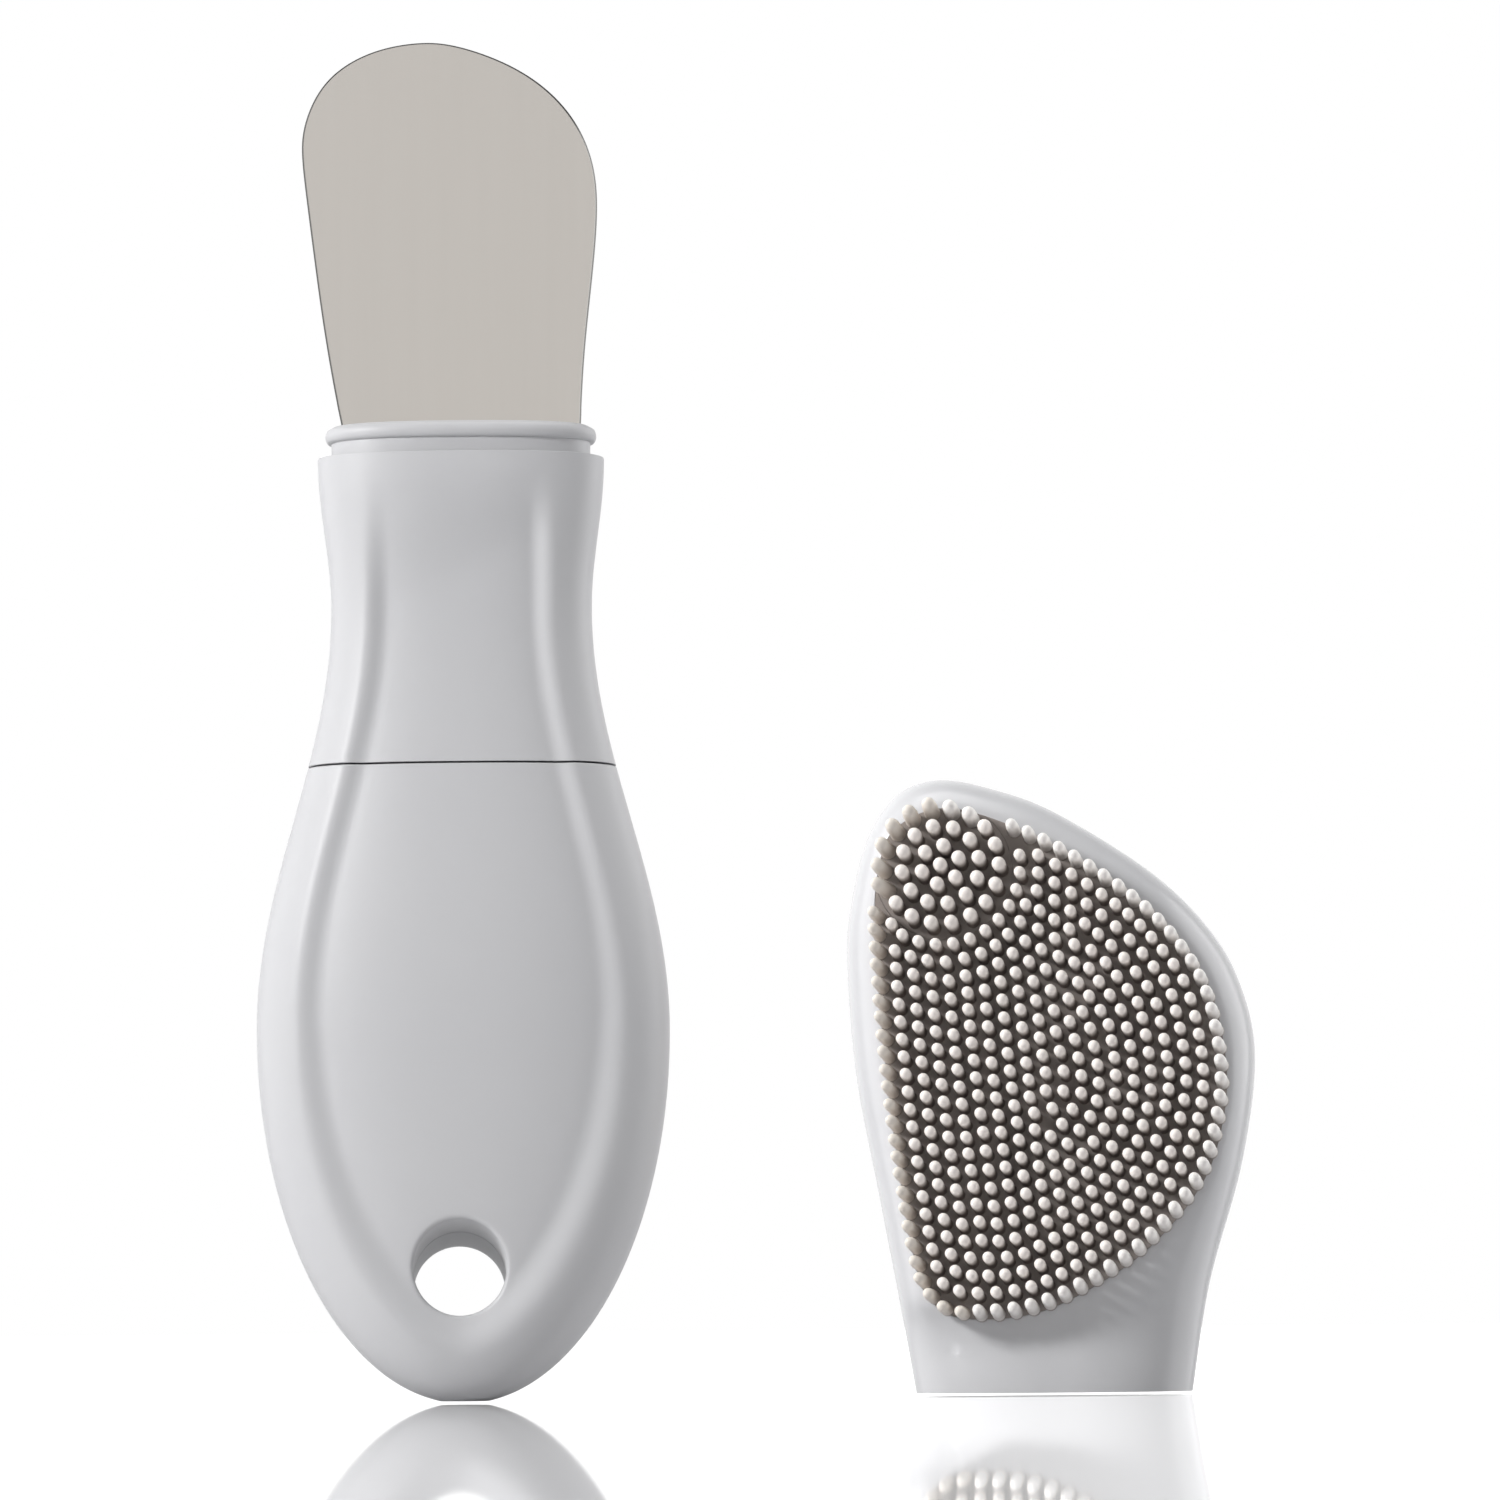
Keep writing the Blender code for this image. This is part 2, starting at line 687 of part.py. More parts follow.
def build_mouth_bore():
    """Bore that takes the collar: a lip at the rim, then the groove for the bead."""
    groove = SHOULDER_WIDTH / 2 - RIM_WALL
    deep = SHOULDER_DEPTH / 2 - RIM_WALL
    bead_top = BEAD_BASE + BEAD_HEIGHT - SHOULDER_HEIGHT + FIT_GAP
    stations = [(RIM_LIP, -CUT_PAST), (RIM_LIP, RIM_LIP_HEIGHT), (0, RIM_LIP_HEIGHT), (0, bead_top)]
    stations += [(RIM_LIP, bead_top + RIM_LIP), (RIM_LIP, BORE_DEPTH)]
    rings = [oval(groove - less, deep - less, z, NECK_POWER, 36) for less, z in stations]
    return make_cutter("mouth_bore", loft_mesh("mouth_bore", rings), CAP)


def build_cap_shells():
    curve = cap_curve()
    coarse_curve = cap_curve(2)
    half_gap = FIT_GAP / 2
    below = box_mesh("below_rim", (-1.5 * CAP_LEFT_REACH, THROUGH[0], -CAP_HEIGHT), (1.5 * CAP_RIGHT_REACH, THROUGH[1], 0))
    below = make_cutter("below_rim", below, CAP)
    bore = build_mouth_bore()

    recess = offset_curve(pad_curve(), -FIT_GAP)
    recess = plate_mesh("pad_recess", recess, -PAD_FACE - CUT_PAST, -PAD_BACK + FIT_GAP)
    recess = make_cutter("pad_recess", recess, CAP)
    stems = rods_mesh("stem_holes", stem_places(), STEM_DIAMETER + 2 * PIN_GAP, -PAD_FACE, 0.0)
    stems = make_cutter("stem_holes", stems, CAP)

    rings = cap_rings(curve, edge_rounding(curve), 0.0, CAP_FRONT, -1, [half_gap])
    front = make_part("cap_front_shell", loft_mesh("cap_front_shell", rings), CAP, CAP_PLASTIC)
    rings = cap_rings(coarse_curve, edge_rounding(coarse_curve), CAP_WALL, CAP_FRONT_INSIDE, -1, [-CUT_PAST, 0.0], 3)
    cut(front, make_cutter("cap_front_cavity", loft_mesh("cap_front_cavity", rings), CAP), bore, below, recess, stems)

    rings = cap_rings(curve, back_rounding(curve), 0.0, SHOULDER_DEPTH / 2, 1, [half_gap])
    back = make_part("cap_back_shell", loft_mesh("cap_back_shell", rings), CAP, CAP_PLASTIC)
    rounding = back_rounding(coarse_curve)
    rings = cap_rings(coarse_curve, rounding, CAP_WALL, SHOULDER_DEPTH / 2 - CAP_WALL, 1, [-CUT_PAST, 0.0], 3)
    cut(back, make_cutter("cap_back_cavity", loft_mesh("cap_back_cavity", rings), CAP), bore, below)


# Silicone pad


def stem_places():
    return [cap_point(*share) for share in FINE_STEMS] + [cap_point(*COARSE_CENTRE)]


def resample(loop, step):
    """Points at equal steps along a closed loop, as near to the wanted step as a whole number gives."""
    closed = np.vstack([loop, loop[:1]])
    lengths = np.concatenate([[0.0], np.cumsum(np.linalg.norm(np.diff(closed, axis=0), axis=1))])
    count = int(round(lengths[-1] / step))
    if count < 3:
        return np.array([loop.mean(axis=0)])
    wanted = lengths[-1] * np.arange(count) / count
    return np.column_stack([np.interp(wanted, lengths, closed[:, i]) for i in (0, 1)])


def fine_boundary():
    """Line of the outermost fine strands: along the pad's edge, and round the coarse zone."""
    centre = np.array(cap_point(*COARSE_CENTRE))
    outer = offset_curve(pad_curve(24), STRAND_MARGIN)
    radius = COARSE_RADIUS + ZONE_STEP
    away = np.linalg.norm(outer - centre, axis=1) >= radius
    first = int(np.flatnonzero(away & ~np.roll(away, 1))[0])
    outer, away = np.roll(outer, -first, axis=0), np.roll(away, -first)
    outer = outer[away]
    start = math.atan2(*(outer[-1] - centre)[::-1])
    end = math.atan2(*(outer[0] - centre)[::-1])
    if end > start:
        end -= 2 * math.pi
    angles = np.linspace(start, end, 90)[1:-1]
    arc = centre + radius * np.column_stack([np.cos(angles), np.sin(angles)])
    return resample(np.vstack([outer, arc]), FINE_STEP / 8)


def inner_loops(boundary, distance):
    """Closed loops at this distance inside the boundary."""
    moved = offset_curve(boundary, distance)
    kept = moved[distances(moved, boundary) > distance * 0.985 - FINE_STEP / 200]
    if len(kept) < 3:
        return []
    jumps = np.linalg.norm(np.roll(kept, -1, axis=0) - kept, axis=1) > FINE_PITCH
    if not jumps.any():
        return [kept]
    cuts = np.flatnonzero(jumps) + 1
    kept = np.roll(kept, -cuts[0], axis=0)
    runs = np.split(kept, (cuts[1:] - cuts[0]))
    loops = []
    while runs:
        loop = runs.pop(0)
        while runs:
            gaps = [np.linalg.norm(run[0] - loop[-1]) for run in runs]
            nearest = int(np.argmin(gaps))
            if gaps[nearest] > np.linalg.norm(loop[0] - loop[-1]):
                break
            loop = np.vstack([loop, runs.pop(nearest)])
        loops.append(loop)
    return loops


def ring_places(boundary):
    """Places in rings inside one another."""
    places = np.empty((0, 2))
    ring = 0
    while True:
        loops = [boundary] if ring == 0 else inner_loops(boundary, ring * FINE_PITCH)
        if not loops:
            return places
        for loop in loops:
            for point in resample(loop, FINE_STEP):
                if not len(places) or np.linalg.norm(places - point, axis=1).min() > 0.8 * FINE_PITCH:
                    places = np.vstack([places, point])
        ring += 1


def points_inside(points, loop):
    """Mask of the points that a closed loop surrounds."""
    x, z = points[:, :1], points[:, 1:]
    (x1, z1), (x2, z2) = loop.T, np.roll(loop, -1, axis=0).T
    crossed = (z1 > z) != (z2 > z)
    rise_over = np.where(z2 == z1, 1.0, z2 - z1)
    return (crossed & (x < x1 + (x2 - x1) * (z - z1) / rise_over)).sum(axis=1) % 2 == 1


def fill_holes(places, boundary):
    """Add a place wherever the rings leave a hole, the largest hole first."""
    low, high = boundary.min(axis=0), boundary.max(axis=0)
    x, z = np.meshgrid(np.arange(low[0], high[0], HOLE_GRID), np.arange(low[1], high[1], HOLE_GRID))
    spots = np.column_stack([x.ravel(), z.ravel()])
    spots = spots[points_inside(spots, boundary)]
    nearest = distances(spots, places)
    while nearest.max() > LEAST_HOLE * FINE_PITCH:
        spot = spots[int(np.argmax(nearest))]
        places = np.vstack([places, spot])
        nearest = np.minimum(nearest, np.linalg.norm(spots - spot, axis=1))
    return places


def even_out(places, still, others):
    """Push places that are close together apart. The first ones and the other zone's stay still."""
    reach = EVEN_REACH * FINE_PITCH
    for _ in range(EVEN_ROUNDS):
        apart = places[:, None, :] - np.vstack([places, others])[None, :, :]
        length = np.linalg.norm(apart, axis=2)
        push = np.where((length > 0) & (length < reach), (reach - length) / np.where(length > 0, length, 1.0), 0.0)
        moved = EVEN_STEP * (push[:, :, None] * apart).sum(axis=1)
        moved[:still] = 0.0
        places = places + moved
    return places


def fine_places():
    """Roots of the fine strands: rings inside one another, filled and evened out in the middle."""
    boundary = fine_boundary()
    still = len(resample(boundary, FINE_STEP))
    return even_out(fill_holes(ring_places(boundary), boundary), still, coarse_places())


def coarse_places():
    """Roots of the coarse strands: one in the middle and rings of six, twelve and so on."""
    centre = np.array(cap_point(*COARSE_CENTRE))
    places = [centre]
    for ring in range(1, COARSE_RINGS + 1):
        for k in range(6 * ring):
            angle = 2 * math.pi * k / (6 * ring) + ring * 0.35
            places.append(centre + ring * COARSE_PITCH * np.array([math.cos(angle), math.sin(angle)]))
    return np.array(places)


def strands_mesh(name, places, base, tip):
    """Leaning three-sided strands that start inside the pad."""
    bm = bmesh.new()
    length = STRAND_LENGTH + STRAND_ROOT
    lean = Matrix(((1, 0, STRAND_LEAN_X, 0), (0, 0, -1, 0), (0, 1, STRAND_LEAN_Z, 0), (0, 0, 0, 1)))
    for x, z in places:
        middle = length / 2 - STRAND_ROOT
        shift = Matrix.Translation((x + STRAND_LEAN_X * middle, -PAD_FACE - middle, z + STRAND_LEAN_Z * middle))
        bmesh.ops.create_cone(
            bm, cap_ends=True, segments=3, radius1=base, radius2=tip, depth=length, matrix=shift @ lean
        )
    mesh = bpy.data.meshes.new(name)
    bm.to_mesh(mesh)
    bm.free()
    return mesh


def zone_disc(name, radius):
    x, z = cap_point(*COARSE_CENTRE)
    front, back = -PAD_FACE - CUT_PAST, -PAD_BACK + CUT_PAST
    return make_cutter(name, rods_mesh(name, [(x, z)], 2 * radius, front, back, 60), CAP)


def build_pad():
    split = COARSE_RADIUS + ZONE_STEP / 2
    stem_end = -CAP_FRONT_INSIDE + FIT_GAP + RETAINER_THICKNESS + STEM_END

    fine = make_part("pad_fine_zone", plate_mesh("pad_fine_zone", pad_curve(), -PAD_FACE, -PAD_BACK), CAP, SILICONE)
    cut(fine, zone_disc("fine_zone_bite", split + FIT_GAP / 2))
    roots = fine_places()
    strands = strands_mesh("fine_strands", roots, FINE_BASE, FINE_TIP)
    stems = rods_mesh("fine_stems", stem_places()[:-1], STEM_DIAMETER, -PAD_BACK - CUT_PAST, stem_end)
    join(fine, make_cutter("fine_strands", strands, CAP), make_cutter("fine_stems", stems, CAP))

    coarse = plate_mesh("pad_coarse_zone", pad_curve(), -PAD_FACE, -PAD_BACK)
    coarse = make_part("pad_coarse_zone", coarse, CAP, SILICONE)
    boolean(coarse, zone_disc("coarse_zone_disc", split - FIT_GAP / 2), "INTERSECT")
    strands = strands_mesh("coarse_strands", coarse_places(), COARSE_BASE, COARSE_TIP)
    stem = rods_mesh("coarse_stem", stem_places()[-1:], STEM_DIAMETER, -PAD_BACK - CUT_PAST, stem_end)
    join(coarse, make_cutter("coarse_strands", strands, CAP), make_cutter("coarse_stem", stem, CAP))
    print("strands:", len(roots) + len(coarse_places()))


def build_retainer():
    front = -CAP_FRONT_INSIDE + FIT_GAP
    curve = offset_curve(pad_curve(2), RETAINER_INSET)
    plate = plate_mesh("pad_retainer", curve, front, front + RETAINER_THICKNESS)
    plate = make_part("pad_retainer", plate, CAP, COLLAR_PLASTIC)
    holes = rods_mesh("retainer_holes", stem_places(), STEM_DIAMETER + 2 * PIN_GAP, front - CUT_PAST, 0.0)
    cut(plate, make_cutter("retainer_holes", holes, CAP))


clear_scene()
PARTS = make_collection("pore_cleaning_brush")
CUTTERS = make_collection("cutters")
BODY_PLASTIC = make_material("satin_body_plastic", (0.72, 0.72, 0.73), 0.38)
COLLAR_PLASTIC = make_material("collar_plastic", (0.66, 0.66, 0.67), 0.35)
CAP_PLASTIC = make_material("gloss_cap_plastic", (0.82, 0.82, 0.84), 0.15)
STEEL = make_material("brushed_steel", (0.62, 0.60, 0.57), 0.30, 1.0)
SILICONE = make_material("silicone", (0.80, 0.76, 0.72), 0.55)
THROUGH = (-BODY_DEPTH, BODY_DEPTH)
HANDLE = make_anchor("handle_axis", (HANDLE_X, HANDLE_Y, 0.0))
CAP = make_anchor("cap_axis", (CAP_X, CAP_Y, 0.0))

build_handle_shells()
build_neck_sleeve()
build_blade_carrier()
build_tang_pins()
build_blade()
build_cap_shells()
build_pad()
build_retainer()
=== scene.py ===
import math

import bmesh
import bpy
import numpy as np
from mathutils import Matrix, Vector


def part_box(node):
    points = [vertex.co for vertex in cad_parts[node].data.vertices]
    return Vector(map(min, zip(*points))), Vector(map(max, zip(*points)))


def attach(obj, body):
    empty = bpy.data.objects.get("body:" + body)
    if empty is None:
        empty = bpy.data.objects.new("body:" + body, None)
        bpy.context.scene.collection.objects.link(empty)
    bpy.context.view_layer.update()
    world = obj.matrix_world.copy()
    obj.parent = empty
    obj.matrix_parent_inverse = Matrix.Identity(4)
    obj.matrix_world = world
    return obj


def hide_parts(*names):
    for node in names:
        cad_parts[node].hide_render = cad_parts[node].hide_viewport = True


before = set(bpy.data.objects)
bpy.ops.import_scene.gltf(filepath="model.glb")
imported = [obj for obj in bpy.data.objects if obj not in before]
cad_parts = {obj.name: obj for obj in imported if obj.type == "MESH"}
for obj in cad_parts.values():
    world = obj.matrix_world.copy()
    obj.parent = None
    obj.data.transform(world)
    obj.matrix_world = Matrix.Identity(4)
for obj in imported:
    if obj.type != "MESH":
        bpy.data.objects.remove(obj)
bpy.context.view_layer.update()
mm = 0.001  # shapes below are written in millimetres, the frame is in metres

# The handle's axis and the middle of the cap's mouth, read from the frame
seamGap = 0.09  # half the gap between two half shells
frameGap = 0.15  # the same in the frame
rimWidth = 28.5  # of the cap's mouth and of the neck's shoulder
capReach = {"left": 21.0, "right": 21.2, "height": 63.4}  # from the middle of the mouth
capShare = capReach["left"] / (capReach["left"] + capReach["right"])
bodyLow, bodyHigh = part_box("handle_back_shell")
capLow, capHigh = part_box("cap_back_shell")
handleSpot = Vector(((bodyLow.x + bodyHigh.x) / 2, bodyLow.y - frameGap * mm, 0))
capSpot = Vector((capLow.x + (capHigh.x - capLow.x) * capShare, capLow.y - frameGap * mm, 0))


# Shared mesh tools

bodyPieces = {"handle": [], "cap": []}  # for the lamps that light one body


def swell(t, start, end):  # from start to end while t goes from 0 to 1, level at both ends
    t = np.clip(t, 0.0, 1.0)
    return start + (end - start) * (1 - np.cos(np.pi * t)) / 2


def meshObject(bm, name, spot):
    bmesh.ops.recalc_face_normals(bm, faces=bm.faces)
    bmesh.ops.scale(bm, vec=(mm, mm, mm), verts=bm.verts)
    mesh = bpy.data.meshes.new(name)
    bm.to_mesh(mesh)
    bm.free()
    thing = bpy.data.objects.new(name, mesh)
    bpy.context.scene.collection.objects.link(thing)
    thing.location = spot
    return thing


def shadeRound(piece, sharpDegrees):
    piece.data.shade_smooth()
    piece.data.set_sharp_from_angle(angle=math.radians(sharpDegrees))


def finishMesh(bm, name, spot, body, mats, node, sharpDegrees=35):
    piece = meshObject(bm, name, spot)
    shadeRound(piece, sharpDegrees)
    for mat in mats:
        piece.data.materials.append(mat)
    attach(piece, body)
    bodyPieces[body].append(piece)
    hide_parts(node)
    return piece


def addRing(bm, points):
    return [bm.verts.new(point) for point in points]


def joinRings(bm, low, high):
    for i in range(len(low)):
        j = (i + 1) % len(low)
        bm.faces.new((low[i], low[j], high[j], high[i]))


def growRing(bm, ring, points):
    row = addRing(bm, points)
    joinRings(bm, ring, row)
    return row


def loft(bm, rings, ends=True):
    rows = [addRing(bm, ring) for ring in rings]
    for low, high in zip(rows, rows[1:]):
        joinRings(bm, low, high)
    if ends:
        bm.faces.new(rows[0])
        bm.faces.new(rows[-1])
    return rows


def fillLoops(bm, *loops):
    edges = []
    for loop in loops:
        for i in range(len(loop)):
            pair = (loop[i - 1], loop[i])
            edges.append(bm.edges.get(pair) or bm.edges.new(pair))
    bmesh.ops.triangle_fill(bm, use_beauty=True, use_dissolve=False, edges=edges)


def oval(wide, deep, z, power, steps):
    turn = 2 * np.pi * np.arange(steps) / steps
    c, s = np.cos(turn), np.sin(turn)
    x = wide * np.sign(c) * np.abs(c) ** (2 / power)
    y = deep * np.sign(s) * np.abs(s) ** (2 / power)
    return np.stack([x, y, np.full(steps, z)], axis=-1)


def boxShape(low, high):
    bm = bmesh.new()
    size = [b - a for a, b in zip(low, high)]
    middle = [(a + b) / 2 for a, b in zip(low, high)]
    placed = Matrix.Translation(middle) @ Matrix.Diagonal((*size, 1))
    bmesh.ops.create_cube(bm, size=1.0, matrix=placed)
    return bm


def plateShape(curve, front, back):
    bm = bmesh.new()
    loft(bm, [[(x, y, z) for x, z in curve] for y in (front, back)])
    return bm


def addBevel(piece, width, degrees, segments):
    step = piece.modifiers.new("soft_edges", "BEVEL")
    step.width = width * mm
    step.segments = segments
    step.limit_method = "ANGLE"
    step.angle_limit = math.radians(degrees)


def addWeighting(piece):
    step = piece.modifiers.new("even_shading", "WEIGHTED_NORMAL")
    step.keep_sharp = True


def applyModifiers(piece):
    bpy.context.view_layer.update()
    shaped = piece.evaluated_get(bpy.context.evaluated_depsgraph_get())
    old = piece.data
    piece.data = bpy.data.meshes.new_from_object(shaped)
    piece.data.name = old.name
    piece.modifiers.clear()


def cutOut(piece, name, bm, spot, operation="DIFFERENCE"):
    cutter = meshObject(bm, name, spot)
    step = piece.modifiers.new(name, "BOOLEAN")
    step.operation = operation
    step.solver = "EXACT"
    step.object = cutter
    applyModifiers(piece)
    bpy.data.objects.remove(cutter)


def smoothCurve(points, steps, closed):  # runs through all the points
    points = np.asarray(points, dtype=float)
    if closed:
        padded = np.vstack([points[-1], points, points[:2]])
    else:
        padded = np.vstack([2 * points[0] - points[1], points, 2 * points[-1] - points[-2]])
    curve = []
    for a, b, c, d in zip(padded, padded[1:], padded[2:], padded[3:]):
        for k in range(steps):
            t = k / steps
            bend = (2 * a - 5 * b + 4 * c - d) * t**2 + (3 * b - a - 3 * c + d) * t**3
            curve.append((2 * b + (c - a) * t + bend) / 2)
    if not closed:
        curve.append(points[-1])
    return np.array(curve)


def moveInward(curve, distance, closed=True):
    if closed:
        along = np.roll(curve, -1, axis=0) - np.roll(curve, 1, axis=0)
    else:
        along = np.gradient(curve, axis=0)
    normal = np.column_stack([-along[:, 1], along[:, 0]])
    normal /= np.linalg.norm(normal, axis=1)[:, None]
    return curve + normal * np.broadcast_to(distance, len(curve))[:, None]


def nearest(points, others):
    return np.linalg.norm(points[:, None, :] - others[None, :, :], axis=2).min(axis=1)


# Shared material tools

def newMaterial(name):
    mat = bpy.data.materials.new(name)
    mat.use_nodes = True
    tree = mat.node_tree
    return mat, tree, tree.nodes["Principled BSDF"]


def addNode(tree, kind, **inputs):
    node = tree.nodes.new(kind)
    for key, value in inputs.items():
        node.inputs[key].default_value = value
    return node


def localPlace(tree):
    return tree.nodes.new("ShaderNodeTexCoord").outputs["Object"]


def splitAxes(tree, vector):
    node = tree.nodes.new("ShaderNodeSeparateXYZ")
    tree.links.new(vector, node.inputs["Vector"])
    return node.outputs


def grain(tree, scale, detail, stretch=(1, 1, 1)):
    mapping = addNode(tree, "ShaderNodeMapping", Scale=stretch)
    noise = addNode(tree, "ShaderNodeTexNoise", Scale=scale, Detail=detail)
    tree.links.new(localPlace(tree), mapping.inputs["Vector"])
    tree.links.new(mapping.outputs["Vector"], noise.inputs["Vector"])
    return noise.outputs["Fac"]


def toRange(tree, value, low, high, fromLow=0.0, fromHigh=1.0):
    node = tree.nodes.new("ShaderNodeMapRange")
    keys = ("From Min", "From Max", "To Min", "To Max")
    for key, number in zip(keys, (fromLow, fromHigh, low, high)):
        node.inputs[key].default_value = number
    tree.links.new(value, node.inputs["Value"])
    return node.outputs["Result"]


def combine(tree, operation, *values):
    node = tree.nodes.new("ShaderNodeMath")
    node.operation = operation
    for value, socket in zip(values, node.inputs):
        tree.links.new(value, socket)
    return node.outputs["Value"]


def twoColours(tree, fac, first, second):  # first is a colour or a node's output
    node = tree.nodes.new("ShaderNodeMix")
    node.data_type = "RGBA"
    if isinstance(first, tuple):
        node.inputs["A"].default_value = (*first, 1)
    else:
        tree.links.new(first, node.inputs["A"])
    node.inputs["B"].default_value = (*second, 1)
    tree.links.new(fac, node.inputs["Factor"])
    return node.outputs["Result"]


def addBump(tree, shader, height, strength, distance):
    bump = addNode(tree, "ShaderNodeBump", Strength=strength, Distance=distance)
    tree.links.new(height, bump.inputs["Height"])
    tree.links.new(bump.outputs["Normal"], shader.inputs["Normal"])


# Finishes of the plastic and the steel, the steel's bevel and rim darkened with painted shade

bodyFinish = {
    "colour": (0.56, 0.56, 0.57),
    "shade": (0.54, 0.54, 0.555),
    "cloudScale": 60,  # of the soft change between colour and shade
    "grainScale": 2600,
    "grainSpread": (0.3, 0.7),  # the grain's values lie between these
    "roughness": (0.40, 0.46),
    "bump": 0.06,
    "bumpDepth": 0.00004,
    "ior": 1.46,
}
capFinish = {
    "colour": (0.58, 0.58, 0.59),
    "shade": (0.57, 0.57, 0.585),
    "cloudScale": 50,
    "grainScale": 900,
    "grainSpread": (0.3, 0.7),
    "roughness": (0.22, 0.27),
    "bump": 0.02,
    "bumpDepth": 0.00003,
    "ior": 1.5,
}
innerFinish = dict(bodyFinish, colour=(0.50, 0.50, 0.51), shade=(0.48, 0.48, 0.49))
steelFinishAndShade = {
    "face": (0.562, 0.532, 0.497),
    "faceShade": (0.545, 0.515, 0.48),
    # the bevel and the rim are painted darker than the face, painted shade along the blade's edge
    "bevel": (0.24, 0.235, 0.225),
    "rim": (0.10, 0.097, 0.093),
    "roughness": (0.27, 0.32),
    "grainScale": 900,
    "grainStretch": (1.0, 1.0, 0.04),  # the brushing runs along the blade
    "bump": 0.02,
    "bumpDepth": 0.00002,
}


def mouldedPlastic(name, look):
    mat, tree, shader = newMaterial(name)
    cloud = grain(tree, look["cloudScale"], detail=2)
    colour = twoColours(tree, cloud, look["colour"], look["shade"])
    tree.links.new(colour, shader.inputs["Base Color"])
    fine = grain(tree, look["grainScale"], detail=4)
    roughness = toRange(tree, fine, *look["roughness"], *look["grainSpread"])
    tree.links.new(roughness, shader.inputs["Roughness"])
    addBump(tree, shader, fine, look["bump"], look["bumpDepth"])
    shader.inputs["IOR"].default_value = look["ior"]
    return mat


def steel(name, colour, shade):
    mat, tree, shader = newMaterial(name)
    brushed = grain(tree, steelFinishAndShade["grainScale"], 3, steelFinishAndShade["grainStretch"])
    tree.links.new(twoColours(tree, brushed, colour, shade), shader.inputs["Base Color"])
    tree.links.new(toRange(tree, brushed, *steelFinishAndShade["roughness"]), shader.inputs["Roughness"])
    shader.inputs["Metallic"].default_value = 1.0
    addBump(tree, shader, brushed, steelFinishAndShade["bump"], steelFinishAndShade["bumpDepth"])
    return mat


satinPlastic = mouldedPlastic("satin_plastic", bodyFinish)
glossPlastic = mouldedPlastic("gloss_plastic", capFinish)
innerPlastic = mouldedPlastic("inner_plastic", innerFinish)
bladeSteel = steel("brushed_steel", steelFinishAndShade["face"], steelFinishAndShade["faceShade"])
bevelShadedSteel = steel("bevel_painted_shade", steelFinishAndShade["bevel"], steelFinishAndShade["bevel"])
rimShadedSteel = steel("blade_rim_painted_shade", steelFinishAndShade["rim"], steelFinishAndShade["rim"])
print("finishes ready")


# Handle: both half shells of the body and the neck above them

handle = {
    "bodyWidth": 40.8,
    "bodyDepth": 18.6,
    "widestAt": 36.5,
    "bodyPower": 2.4,  # a section with power 2 is an ellipse, more makes it squarer
    "footCut": 0.25,  # the round end would reach this far below its flat foot
    "waist": 62.5,
    "waistGap": 0.18,
    "neckWidth": 25.9,
    "neckDepth": 13.4,
    "narrowestAt": 78.3,
    "neckPower": 2.5,
    "shoulderDepth": 14.2,
    "shoulder": 93.3,
    "neckWall": 2.0,
    "panelWidth": 30.0,
    "panelWidestAt": 37.0,
    "panelBottom": 5.8,
    "panelBlunt": 2.0,  # rounds off the lower end of the panel in the middle
    "panelNeckWidth": 16.4,
    "panelTop": 92.2,
    "panelFade": (15.0, 8.5),  # length of the fade below the top, left and right
    "panelSink": (1.4, 1.0),  # depth at the foot and at the waist
    "panelRamp": (4.4, 2.6),  # width of the panel's slope at the foot and at the waist
    "panelRound": 1.515,  # power of the panel's lower outline
    "holeWidth": 9.1,
    "holeHeight": 11.95,
    "holeTilt": 9.0,  # the bore rises to the front by this angle
    "holeTurn": 2.9,  # and turns to the right by this one
    "holeRound": 0.55,
    "holeSteps": (7, 6, 10),  # rings around the hole, on its soft rim and in its bore
    "holeGuess": 8.0,  # first guess of the depth at the rim
    "openingHalf": 6.9,  # half the square opening that the grid of faces leaves for the hole
    "openingDepth": 8.4,  # depth at which the opening's middle lies on the bore's axis
    "bodyRows": (74, 40),  # below and above the widest place
    "neckRows": 46,
    "bodyEdge": (0.22, 55, 3),  # bevel width, least angle and segments
    "neckEdge": (0.3, 55, 3),
}


def riseShare(z):
    return (z - handle["widestAt"]) / (handle["narrowestAt"] - handle["widestAt"])


def flareShare(z):
    return (z - handle["narrowestAt"]) / (handle["shoulder"] - handle["narrowestAt"])


def roundFoot(t):
    return np.sqrt(1 - t**2)


def bluntFoot(t):
    return np.cbrt(1 - t**4)


def sizeAlong(z, low, narrow, shoulder, footShape):
    z = np.asarray(z, dtype=float)
    below = np.clip((handle["widestAt"] - z) / (handle["widestAt"] + handle["footCut"]), 0, 1)
    waisted, flared = swell(riseShare(z), low, narrow), swell(flareShare(z), narrow, shoulder)
    upper = np.where(z < handle["narrowestAt"], waisted, flared)
    return np.where(z < handle["widestAt"], low * footShape(below), upper) / 2


def halfWidth(z):
    return sizeAlong(z, handle["bodyWidth"], handle["neckWidth"], rimWidth, roundFoot)


def halfDepth(z):
    depths = (handle["bodyDepth"], handle["neckDepth"], handle["shoulderDepth"])
    return sizeAlong(z, *depths, bluntFoot)


def sectionPower(z):
    return swell(riseShare(np.asarray(z, dtype=float)), handle["bodyPower"], handle["neckPower"])


